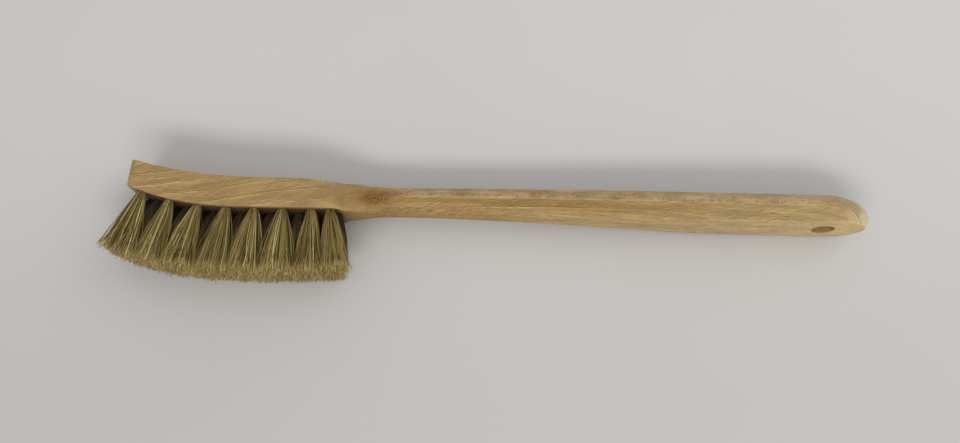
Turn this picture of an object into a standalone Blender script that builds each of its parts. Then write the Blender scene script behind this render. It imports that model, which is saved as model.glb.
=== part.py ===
"""Long dish brush: one-piece beech head and handle, with horsehair tufts stapled into blind holes.

The brush lies on its side, as it is put down beside a sink. +X runs from the toe of the head to
the hanging end of the handle, +Y is the back of the brush, the hair points to -Y, and +Z is up.
The beech body is a run of sections along the brush. Each section joins a point of the back line
to a point of the underside, and has its own width, crowned back and rounded lower edges.
Heights are measured from the back at the ends of the handle, places from the toe.
"""

import math
from dataclasses import dataclass

import bmesh
import bpy
from mathutils import Matrix, Vector

MM = 0.001

# Beech body: overall
BODY_LENGTH = 301.3 * MM
HEAD_THICKNESS = 12.4 * MM
HEAD_HALF_WIDTH = 11 * MM

# Beech body: toe of the head
TOE_BACK_SETBACK = 0.8 * MM
TOE_CORNER_RADIUS = 3 * MM
TOE_BACK_RISE = 7.1 * MM
TOE_BACK_BEND = 60 * MM
TOE_UNDER_RISE = 8.6 * MM
TOE_UNDER_BEND = 50 * MM
TOE_BEND_POWER = 2.6

# Beech body: shoulder and neck
SCOOP_START = 70 * MM
SCOOP_END = 89 * MM
SCOOP_FLAT_HALF_WIDTH = 4.6 * MM
SHOULDER_START = 83.5 * MM
SHOULDER_LENGTH = 5.5 * MM
SHOULDER_FOOT_HALF_WIDTH = 7.2 * MM
NECK_START = 106 * MM
NECK_END = 122 * MM
NECK_HALF_WIDTH = 6 * MM
NECK_THICKNESS = 12.2 * MM

# Beech body: handle and its hanging end
GRIP_FULL_WIDTH_AT = 276 * MM
GRIP_FULL_THICKNESS_AT = 238 * MM
GRIP_HALF_WIDTH = 10.4 * MM
GRIP_THICKNESS = 14.1 * MM
GRIP_BACK_RISE = 0.5 * MM
NOSE_LENGTH = 16.5 * MM
NOSE_DROP = 9.2 * MM
NOSE_UNDERCUT = 2.7 * MM
NOSE_ARRIS_REACH = 7 * MM
HANG_HOLE_RADIUS = 4.6 * MM
HANG_HOLE_FROM_END = 19.3 * MM
HANG_HOLE_SIDES = 24

# Beech body: edges, with shares of the section that they belong to
HEAD_ARRIS = 0.35 * MM
GRIP_ARRIS = 0.5 * MM
SCOOP_CROWN_SHARE = 0.93
NECK_CROWN_SHARE = 0.44
GRIP_CROWN_SHARE = 0.51
NOSE_CROWN_SHARE = 0.97
NECK_ROUND_SHARE = 0.95
CROWN_TURN = math.radians(72)

# Beech body: sections in each stretch, and points in each half section
TOE_STEPS = 4
HEAD_STEPS = 11
SHOULDER_STEPS = 5
TAIL_STEPS = 7
NECK_STEPS = 3
GRIP_STEPS = 15
NOSE_STEPS = 9
CROWN_STEPS = 8
ARRIS_STEPS = 3

# Tufts: the folded root in its drilled hole
TUFT_RADIUS = 1.6 * MM
TUFT_CLEARANCE = 0.3 * MM
TUFT_DEPTH = 6.2 * MM
TUFT_PROUD = 0.4 * MM
TUFT_SIDES = 10

# Tufts: four rows, planted like the fives of a dice, with shares of the pitch along a row
ROW_SPACING = 5.3 * MM
FIRST_TUFT_FROM_TOE = 6.4 * MM
TUFT_PITCH = 11.4 * MM
ROW_START_SHARES = (0, 0.5, 0, 0.5)
ROW_REGULAR_TUFTS = (7, 6, 6, 7)
ROW_HEEL_SHARES = (0.65, 1.35, 1.35, 0)
TOE_LEAN = math.radians(-14)
HEEL_LEAN = math.radians(7)
LEAN_POWER = 1.6

# Staples: a wire crown across the fold of each tuft, with two legs that bite into the wood
STAPLE_WIRE = 0.45 * MM
STAPLE_CLEARANCE = 0.25 * MM
STAPLE_SPAN = 1.6 * MM
STAPLE_BEND = 0.4 * MM
STAPLE_ABOVE_FLOOR = 1.6 * MM
STAPLE_BITE = 2 * MM
STAPLE_SIDES = 6
STAPLE_CUTTER_SIDES = 4

# Hair: the trimmed outline, as rises and reaches from the lowest place of the trim
HAIR_LENGTH = 25 * MM
TRIM_LOW_AT = 58 * MM
TRIM_TOE_REACH = 64 * MM
TRIM_TOE_RISE = 8.5 * MM
TRIM_TOE_POWER = 2.9
TRIM_HEEL_REACH = 32 * MM
TRIM_HEEL_RISE = 1.9 * MM
TRIM_UPPER_FLARE = 3.4 * MM
TUFT_REACH = 6.3 * MM

# Hair: strands, with shares of the way out, of the spread and of the root's width
STRAND_INSET = 0.11 * MM
STRAND_SPREAD_SHARE = 1.1
STRAND_MIDDLE_SHARE = 0.5
STRAND_MIDDLE_SPREAD_SHARE = 0.4
STRAND_WIDTH_SHARES = (0.66, 0.5)

HALF_TURN = math.pi
QUARTER_TURN = math.pi / 2
MERGE = 0.01 * MM
CUT_OVERRUN = 3 * MM
AIM_ROUNDS = 12
WOOD_SMOOTH_ANGLE = math.radians(28)
FINE_SMOOTH_ANGLE = math.radians(65)


@dataclass
class Section:
    """One section of the beech body, from a point of its back to a point of its underside."""

    back: Vector
    under: Vector
    half_width: float
    crown_width: float
    crown_height: float
    under_round: float


@dataclass
class Planting:
    """Where one tuft is planted, which way it leans, and the cell of the trim that it fills."""

    label: str
    mouth: Vector
    axis: Vector
    cell_start: float
    cell_end: float


def ease(share):
    """A smooth step from 0 to 1, flat at both ends."""
    share = min(max(share, 0), 1)
    return share * share * (3 - 2 * share)


def mix(start, end, share):
    return start + (end - start) * share


def share_between(x, start, end):
    """How far x is on the way from start to end, held between 0 and 1."""
    return min(max((x - start) / (end - start), 0), 1)


def back_height(x):
    """The back line: barely bowed along the handle, rising in one long arc to the toe."""
    bowed = math.sin(HALF_TURN * share_between(x, NECK_START, BODY_LENGTH - NOSE_LENGTH))
    return TOE_BACK_RISE * max(1 - x / TOE_BACK_BEND, 0) ** TOE_BEND_POWER + GRIP_BACK_RISE * bowed


def straight_thickness(x):
    """The thickness below the back line, before the underside bends up to the toe."""
    if x < NECK_START:
        return mix(HEAD_THICKNESS, NECK_THICKNESS, ease(share_between(x, SHOULDER_START, NECK_START)))
    return mix(NECK_THICKNESS, GRIP_THICKNESS, share_between(x, NECK_END, GRIP_FULL_THICKNESS_AT))


def under_height(x):
    """The underside line, which bends up to the toe more sharply than the back."""
    return TOE_UNDER_RISE * max(1 - x / TOE_UNDER_BEND, 0) ** TOE_BEND_POWER - straight_thickness(x)


def half_width_at(x):
    """The outline seen from the back: full head, short shoulder, slim neck, widening handle."""
    shoulder_end = SHOULDER_START + SHOULDER_LENGTH
    if x < TOE_CORNER_RADIUS:
        across = 1 - x / TOE_CORNER_RADIUS
        return HEAD_HALF_WIDTH - TOE_CORNER_RADIUS * (1 - math.sqrt(1 - across**2))
    if x < shoulder_end:
        share = share_between(x, SHOULDER_START, shoulder_end)
        return mix(HEAD_HALF_WIDTH, SHOULDER_FOOT_HALF_WIDTH, ease(share))
    if x < NECK_START:
        share = share_between(x, shoulder_end, NECK_START)
        return mix(SHOULDER_FOOT_HALF_WIDTH, NECK_HALF_WIDTH, 1 - (1 - share) ** 2)
    grown = share_between(x, NECK_END, GRIP_FULL_WIDTH_AT)
    return mix(NECK_HALF_WIDTH, GRIP_HALF_WIDTH, mix(ease(grown), grown, grown))


def section_at(x):
    """A section of the head, neck or handle: crisp on the head, round at the neck, crowned behind it."""
    setback = TOE_BACK_SETBACK * max(1 - x / TOE_BACK_BEND, 0)
    back = Vector((x + setback, back_height(x), 0))
    under = Vector((x, under_height(x), 0))
    half_width = half_width_at(x)
    thickness = (back - under).length
    scooped = share_between(x, SCOOP_START, SCOOP_END)
    necked = ease(share_between(x, SCOOP_END, NECK_START))
    rounded = ease(share_between(x, SHOULDER_START, NECK_START))
    flattened = ease(share_between(x, NECK_END, GRIP_FULL_THICKNESS_AT))
    grown = share_between(x, NECK_END, GRIP_FULL_WIDTH_AT)
    back_flat = mix(HEAD_HALF_WIDTH - HEAD_ARRIS, SCOOP_FLAT_HALF_WIDTH, ease(scooped))
    back_flat = min(mix(back_flat, 0, necked), half_width - HEAD_ARRIS)
    scoop_height = mix(HEAD_ARRIS, SCOOP_CROWN_SHARE * thickness, scooped)
    grip_height = mix(NECK_CROWN_SHARE, GRIP_CROWN_SHARE, grown**2) * thickness
    crown_height = mix(scoop_height, grip_height, necked)
    under_round = mix(mix(HEAD_ARRIS, NECK_ROUND_SHARE * half_width, rounded), GRIP_ARRIS, flattened)
    crown_height = min(crown_height, thickness - under_round)
    return Section(back, under, half_width, half_width - back_flat, crown_height, under_round)


def nose_section(start, turn):
    """A section of the hanging end: the back rolls down while the plan closes to a half ellipse.

    The crown soon takes the whole height, so its arris runs down to the underside.
    """
    along, across = math.sin(turn), math.cos(turn)
    back = Vector((start + NOSE_LENGTH * along, -NOSE_DROP * (1 - across), 0))
    under = Vector((start + (NOSE_LENGTH - NOSE_UNDERCUT) * along, -GRIP_THICKNESS, 0))
    half_width = GRIP_HALF_WIDTH * across
    thickness = (back - under).length
    under_round = GRIP_ARRIS * across
    crowned = share_between(NOSE_LENGTH * along, 0, NOSE_ARRIS_REACH)
    crown_height = thickness * mix(GRIP_CROWN_SHARE, NOSE_CROWN_SHARE, crowned)
    crown_height = min(crown_height, thickness - under_round)
    return Section(back, under, half_width, half_width, crown_height, under_round)


def body_sections():
    """All sections, from the toe to the tip of the handle, closest where the outline turns."""
    shoulder_end = SHOULDER_START + SHOULDER_LENGTH
    nose_start = BODY_LENGTH - NOSE_LENGTH
    places = []
    for step in range(TOE_STEPS):
        places.append(TOE_CORNER_RADIUS * (1 - math.cos(QUARTER_TURN * step / TOE_STEPS)))
    for step in range(HEAD_STEPS):
        places.append(mix(TOE_CORNER_RADIUS, SHOULDER_START, step / HEAD_STEPS))
    for step in range(SHOULDER_STEPS):
        places.append(mix(SHOULDER_START, shoulder_end, step / SHOULDER_STEPS))
    for start, end, steps in (
        (shoulder_end, NECK_START, TAIL_STEPS),
        (NECK_START, NECK_END, NECK_STEPS),
        (NECK_END, nose_start, GRIP_STEPS),
    ):
        places += [mix(start, end, step / steps) for step in range(steps)]
    sections = [section_at(x) for x in places]
    for step in range(NOSE_STEPS + 1):
        sections.append(nose_section(nose_start, QUARTER_TURN * step / NOSE_STEPS))
    return sections


def half_outline(section):
    """One half of a section, from the crest to the underside, as steps down and steps out.

    The crown is an arc that stops short of a quarter turn, so it meets the flat side at an arris.
    """
    depth = (section.back - section.under).length
    wide, high, low_round = section.crown_width, section.crown_height, section.under_round
    flat = section.half_width - wide
    points = []
    for step in range(CROWN_STEPS + 1):
        turn = CROWN_TURN * step / CROWN_STEPS
        down = high * (1 - math.cos(turn)) / (1 - math.cos(CROWN_TURN))
        points.append((down, flat + wide * math.sin(turn) / math.sin(CROWN_TURN)))
    for step in range(ARRIS_STEPS + 1):
        turn = QUARTER_TURN * step / ARRIS_STEPS
        down = depth - low_round * (1 - math.sin(turn))
        points.append((down, section.half_width - low_round * (1 - math.cos(turn))))
    return points


def whole_outline(section):
    """The closed outline of a section, from the crest down one side and up the other."""
    down_way = (section.under - section.back).normalized()
    half = half_outline(section)
    near = [section.back + down_way * down + Vector((0, 0, out)) for down, out in half]
    far = [section.back + down_way * down - Vector((0, 0, out)) for down, out in reversed(half)]
    return near + far


def body_bmesh():
    """Lofts the beech body through its sections."""
    bm = bmesh.new()
    rings = [[bm.verts.new(point) for point in whole_outline(section)] for section in body_sections()]
    for ring, following in zip(rings, rings[1:]):
        for i, vert in enumerate(ring):
            j = (i + 1) % len(ring)
            bm.faces.new((vert, ring[j], following[j], following[i]))
    bm.faces.new(rings[0])
    bmesh.ops.remove_doubles(bm, verts=bm.verts, dist=MERGE)
    bmesh.ops.recalc_face_normals(bm, faces=bm.faces)
    return bm


def trim_height(x):
    """The trimmed ends of the hair: lowest under the middle, rising most towards the toe."""
    lowest = -HEAD_THICKNESS - HAIR_LENGTH
    if x < TRIM_LOW_AT:
        return lowest + TRIM_TOE_RISE * ((TRIM_LOW_AT - x) / TRIM_TOE_REACH) ** TRIM_TOE_POWER
    return lowest + TRIM_HEEL_RISE * ((x - TRIM_LOW_AT) / TRIM_HEEL_REACH) ** 2


def row_places(row):
    """How far from the toe each tuft of a row is planted."""
    start = FIRST_TUFT_FROM_TOE + ROW_START_SHARES[row] * TUFT_PITCH
    places = [start + TUFT_PITCH * i for i in range(ROW_REGULAR_TUFTS[row])]
    if ROW_HEEL_SHARES[row]:
        places.append(places[-1] + ROW_HEEL_SHARES[row] * TUFT_PITCH)
    return places


def lean_at(x):
    """The holes are drilled fanwise, leaning forward at the toe and slightly backward at the heel."""
    return mix(TOE_LEAN, HEEL_LEAN, share_between(x, FIRST_TUFT_FROM_TOE, SHOULDER_START) ** LEAN_POWER)


def trim_place(mouth, axis):
    """How far from the toe the middle of a tuft meets the trim, found by stepping along its lean."""
    length = HAIR_LENGTH
    for _ in range(AIM_ROUNDS):
        point = mouth + axis * length
        length += (trim_height(point.x) - point.y) / axis.y
    return (mouth + axis * length).x


def plantings():
    """Every tuft's place, lean and cell, row by row from the upper side of the lying brush."""
    found = []
    rows = len(ROW_START_SHARES)
    for row in range(rows):
        across = ROW_SPACING * ((rows - 1) / 2 - row)
        planted = []
        for x in row_places(row):
            lean = lean_at(x)
            axis = Vector((math.sin(lean), -math.cos(lean), 0))
            planted.append((Vector((x, under_height(x), across)), axis))
        ends = [trim_place(mouth, axis) for mouth, axis in planted]
        for i, (mouth, axis) in enumerate(planted):
            start, end = ends[i] - TUFT_REACH, ends[i] + TUFT_REACH
            if i > 0:
                start = max((ends[i - 1] + ends[i]) / 2, start)
            if i + 1 < len(ends):
                end = min((ends[i] + ends[i + 1]) / 2, end)
            found.append(Planting(f"{len(found) + 1:02d}", mouth, axis, start, end))
    return found


def planting_matrix(planting):
    """Turns a piece made along +Z so that it points out of its hole, with +Y across the brush."""
    across = Vector((0, 0, 1))
    along = across.cross(planting.axis)
    return Matrix.Translation(planting.mouth) @ Matrix((along, across, planting.axis)).transposed().to_4x4()


def plug_bmesh(radius, deep, proud):
    """A straight plug along +Z, from its floor below the mouth to its top above it."""
    bm = bmesh.new()
    bmesh.ops.create_cone(
        bm, cap_ends=True, segments=TUFT_SIDES, radius1=radius, radius2=radius, depth=deep + proud
    )
    bmesh.ops.rotate(bm, verts=bm.verts, matrix=Matrix.Rotation(QUARTER_TURN, 3, "Z"))
    bmesh.ops.translate(bm, verts=bm.verts, vec=(0, 0, (proud - deep) / 2))
    return bm


def strand_end(planting, offset):
    """The end of the strand at this offset on the root, in shares of its radius.

    Only the upper row flares beyond the head: the lower one lies level with the head's side.
    """
    x = mix(planting.cell_start, planting.cell_end, (1 + offset.x) / 2)
    row = planting.mouth.z
    outer_row = ROW_SPACING * (len(ROW_START_SHARES) - 1) / 2
    reach = ROW_SPACING / 2
    if abs(row) > outer_row - MERGE and offset.z * row > 0:
        reach = HEAD_HALF_WIDTH - outer_row + (TRIM_UPPER_FLARE if row > 0 else 0)
    return Vector((x, trim_height(x), row + offset.z * reach))


def tuft_bmesh(planting):
    """A tuft: its folded root, and the strands that fan out from it to the trim."""
    bm = plug_bmesh(TUFT_RADIUS, TUFT_DEPTH, TUFT_PROUD)
    top = max(bm.faces, key=lambda face: face.calc_center_median().z)
    parting = sorted(top.verts, key=lambda vert: vert.co.x)
    bmesh.ops.connect_verts(bm, verts=[parting[0], parting[-1]])
    halves = [face for face in bm.faces if face.normal.z > 0 and len(face.verts) > 4]
    fans = bmesh.ops.poke(bm, faces=halves)["faces"]
    bmesh.ops.transform(bm, matrix=planting_matrix(planting), verts=bm.verts)
    bmesh.ops.inset_individual(bm, faces=fans, thickness=STRAND_INSET)
    middle = planting.mouth + planting.axis * TUFT_PROUD
    for face in fans:
        root = face.calc_center_median()
        corners = [vert.co - root for vert in face.verts]
        end = strand_end(planting, (root - middle) * (STRAND_SPREAD_SHARE / TUFT_RADIUS))
        outward = planting.axis * (end - root).dot(planting.axis)
        sideways = (end - root) - outward
        halfway = root + outward * STRAND_MIDDLE_SHARE + sideways * STRAND_MIDDLE_SPREAD_SHARE
        for place, width in zip((halfway, end), STRAND_WIDTH_SHARES):
            face = bmesh.ops.extrude_discrete_faces(bm, faces=[face])["faces"][0]
            for vert, corner in zip(face.verts, corners):
                vert.co = place + corner * width
    bmesh.ops.recalc_face_normals(bm, faces=bm.faces)
    return bm


def staple_bmesh(wire, bite, sides):
    """A staple with its legs along -Z: the wire's end face is swept round both bends."""
    crown = STAPLE_ABOVE_FLOOR - TUFT_DEPTH
    foot = -TUFT_DEPTH - bite
    side, bend = STAPLE_SPAN / 2, STAPLE_BEND
    route = [
        Vector((-side, 0, foot)),
        Vector((-side, 0, crown - bend)),
        Vector((-side + bend, 0, crown)),
        Vector((side - bend, 0, crown)),
        Vector((side, 0, crown - bend)),
        Vector((side, 0, foot)),
    ]
    corner = wire / 2 / math.cos(HALF_TURN / sides)
    bm = bmesh.new()
    rings = []
    for i, point in enumerate(route):
        arriving = (point - route[i - 1]).normalized() if i else Vector((0, 0, 1))
        leaving = (route[i + 1] - point).normalized() if i + 1 < len(route) else arriving
        heading = (arriving + leaving).normalized()
        outward = heading.cross(Vector((0, 1, 0))) / heading.dot(leaving)
        ring = []
        for step in range(sides):
            turn = HALF_TURN * (2 * step + 1) / sides
            offset = outward * math.cos(turn) + Vector((0, math.sin(turn), 0))
            ring.append(bm.verts.new(point + offset * corner))
        rings.append(ring)
    for ring in (rings[0], rings[-1]):
        bm.faces.new(ring)
    for ring, following in zip(rings, rings[1:]):
        for i, vert in enumerate(ring):
            j = (i + 1) % sides
            bm.faces.new((vert, ring[j], following[j], following[i]))
    bmesh.ops.recalc_face_normals(bm, faces=bm.faces)
    return bm


def mesh_of(name, bm):
    mesh = bpy.data.meshes.new(name)
    bm.to_mesh(mesh)
    bm.free()
    return mesh


def copies_at(single, spots):
    """A bmesh that holds a copy of one shape in every planted hole."""
    shape = mesh_of("shape", single)
    whole = bmesh.new()
    for planting in spots:
        start = len(whole.verts)
        whole.from_mesh(shape)
        whole.verts.ensure_lookup_table()
        bmesh.ops.transform(whole, matrix=planting_matrix(planting), verts=whole.verts[start:])
    bpy.data.meshes.remove(shape)
    return whole


def hang_hole_bmesh():
    """The drill that goes through the handle from back to underside."""
    bm = bmesh.new()
    bmesh.ops.create_cone(
        bm,
        cap_ends=True,
        segments=HANG_HOLE_SIDES,
        radius1=HANG_HOLE_RADIUS,
        radius2=HANG_HOLE_RADIUS,
        depth=GRIP_THICKNESS + 2 * CUT_OVERRUN,
    )
    bmesh.ops.rotate(bm, verts=bm.verts, matrix=Matrix.Rotation(QUARTER_TURN, 3, "X"))
    place = (BODY_LENGTH - HANG_HOLE_FROM_END, -GRIP_THICKNESS / 2, 0)
    bmesh.ops.translate(bm, verts=bm.verts, vec=place)
    return bm


def add_object(name, mesh, base):
    thing = bpy.data.objects.new(name, mesh)
    bpy.context.scene.collection.objects.link(thing)
    thing.parent = base
    return thing


def add_piece(name, bm, material, smooth_angle, base):
    """A piece of the brush, smooth where its faces meet gently."""
    mesh = mesh_of(name, bm)
    mesh.shade_smooth()
    mesh.set_sharp_from_angle(angle=smooth_angle)
    mesh.materials.append(material)
    return add_object(name, mesh, base)


def add_cutter(name, bm, base):
    thing = add_object(name, mesh_of(name, bm), base)
    thing.hide_render = True
    thing.display_type = "WIRE"
    return thing


def cut(piece, cutter):
    step = piece.modifiers.new(f"cut by {cutter.name}", "BOOLEAN")
    step.operation = "DIFFERENCE"
    step.solver = "EXACT"
    step.object = cutter


def add_material(name, color, roughness, metallic):
    material = bpy.data.materials.new(name)
    material.use_nodes = True
    shader = material.node_tree.nodes["Principled BSDF"]
    shader.inputs["Base Color"].default_value = (*color, 1)
    shader.inputs["Roughness"].default_value = roughness
    shader.inputs["Metallic"].default_value = metallic
    return material


def stand_on_origin(base, pieces):
    """Moves the brush so that the origin lies under its middle, on the surface that it lies on."""
    corners = [vert.co for piece in pieces for vert in piece.data.vertices]
    low = [min(corner[axis] for corner in corners) for axis in range(3)]
    high = [max(corner[axis] for corner in corners) for axis in range(3)]
    base.location = (-(low[0] + high[0]) / 2, -(low[1] + high[1]) / 2, -low[2])


def main():
    for thing in list(bpy.data.objects):
        bpy.data.objects.remove(thing, do_unlink=True)
    beech = add_material("beech", (0.44, 0.29, 0.14), 0.55, 0)
    horsehair = add_material("horsehair", (0.30, 0.23, 0.11), 0.6, 0)
    wire = add_material("staple wire", (0.62, 0.62, 0.6), 0.35, 1)
    base = add_object("brush_base", None, None)
    spots = plantings()

    socket = plug_bmesh(TUFT_RADIUS + TUFT_CLEARANCE, TUFT_DEPTH + TUFT_CLEARANCE, CUT_OVERRUN)
    bite = staple_bmesh(
        STAPLE_WIRE + 2 * STAPLE_CLEARANCE, STAPLE_BITE + STAPLE_CLEARANCE, STAPLE_CUTTER_SIDES
    )
    sockets = add_cutter("tuft_sockets", copies_at(socket, spots), base)
    bites = add_cutter("staple_bites", copies_at(bite, spots), base)
    hang_hole = add_cutter("hang_hole", hang_hole_bmesh(), base)

    body = add_piece("brush_body", body_bmesh(), beech, WOOD_SMOOTH_ANGLE, base)
    for cutter in (sockets, bites, hang_hole):
        cut(body, cutter)

    outer_pieces = [body]
    for planting in spots:
        tuft = add_piece(f"tuft_{planting.label}", tuft_bmesh(planting), horsehair, FINE_SMOOTH_ANGLE, base)
        cut(tuft, bites)
        outer_pieces.append(tuft)
        staple = staple_bmesh(STAPLE_WIRE, STAPLE_BITE, STAPLE_SIDES)
        bmesh.ops.transform(staple, matrix=planting_matrix(planting), verts=staple.verts)
        add_piece(f"staple_{planting.label}", staple, wire, FINE_SMOOTH_ANGLE, base)
    stand_on_origin(base, outer_pieces)


main()
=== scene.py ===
"""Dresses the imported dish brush: open-grained beech, fanned natural hair and drawn wire staples."""

import logging
import math
from dataclasses import dataclass, field
from enum import Enum
from typing import Any

import bmesh
import bpy
import numpy as np
from mathutils import Matrix, Vector

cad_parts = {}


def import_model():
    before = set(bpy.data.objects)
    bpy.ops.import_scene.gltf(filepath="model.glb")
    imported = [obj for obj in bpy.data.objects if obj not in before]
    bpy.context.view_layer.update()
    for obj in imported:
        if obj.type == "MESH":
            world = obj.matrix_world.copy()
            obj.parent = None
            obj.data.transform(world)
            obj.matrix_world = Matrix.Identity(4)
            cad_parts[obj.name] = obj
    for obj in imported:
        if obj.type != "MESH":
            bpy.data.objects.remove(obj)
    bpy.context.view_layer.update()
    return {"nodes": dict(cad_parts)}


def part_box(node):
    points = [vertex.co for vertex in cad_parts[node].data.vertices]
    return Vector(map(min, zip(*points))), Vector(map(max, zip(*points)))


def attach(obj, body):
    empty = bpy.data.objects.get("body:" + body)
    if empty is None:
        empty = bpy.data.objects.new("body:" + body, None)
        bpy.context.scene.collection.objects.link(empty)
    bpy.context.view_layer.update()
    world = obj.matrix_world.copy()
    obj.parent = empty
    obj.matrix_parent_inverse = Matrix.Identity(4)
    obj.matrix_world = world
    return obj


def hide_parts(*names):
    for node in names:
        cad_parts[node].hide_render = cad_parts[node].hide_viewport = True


MM = 0.001
BODY = "root"
IMAGE_WIDTH = 960
LOG = logging.getLogger("dish_brush")

Color = tuple[float, float, float]
Triple = tuple[float, float, float]
Ramp = tuple[float, float]
Layer = tuple[Any, ...]
Socket = bpy.types.NodeSocket

# Ranges of a value: all of it, and a noise's without its rare values, or with only its common ones.
WHOLE: Ramp = (0.0, 1.0)
USUAL: Ramp = (0.1, 0.9)
MIDDLE: Ramp = (0.2, 0.8)


def mm(*values: float) -> tuple[float, ...]:
    """Turns millimetres into metres."""
    return tuple(value * MM for value in values)


class Slot(Enum):
    """The record's material slots that the new pieces belong to."""

    BEECH = "beech"
    HAIR = "horsehair"


class MathStep(Enum):
    """The kinds of sum that the materials use."""

    ADD = "ADD"
    SUBTRACT = "SUBTRACT"
    MULTIPLY = "MULTIPLY"
    DIVIDE = "DIVIDE"
    FRACTION = "FRACT"
    ABSOLUTE = "ABSOLUTE"
    LESS_THAN = "LESS_THAN"
    MAXIMUM = "MAXIMUM"


class BlendWay(Enum):
    """The ways to blend two colours."""

    MIX = "MIX"
    MULTIPLY = "MULTIPLY"


def srgb(red: int, green: int, blue: int) -> Color:
    """Turns a colour read off a screen into the linear values that the shaders take.

    Args:
        red: The red value, from 0 to 255.
        green: The green value, from 0 to 255.
        blue: The blue value, from 0 to 255.

    Returns:
        The linear colour.
    """
    values = []
    for value in (red, green, blue):
        share = value / 255
        values.append(share / 12.92 if share <= 0.04045 else ((share + 0.055) / 1.055) ** 2.4)
    return values[0], values[1], values[2]


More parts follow.
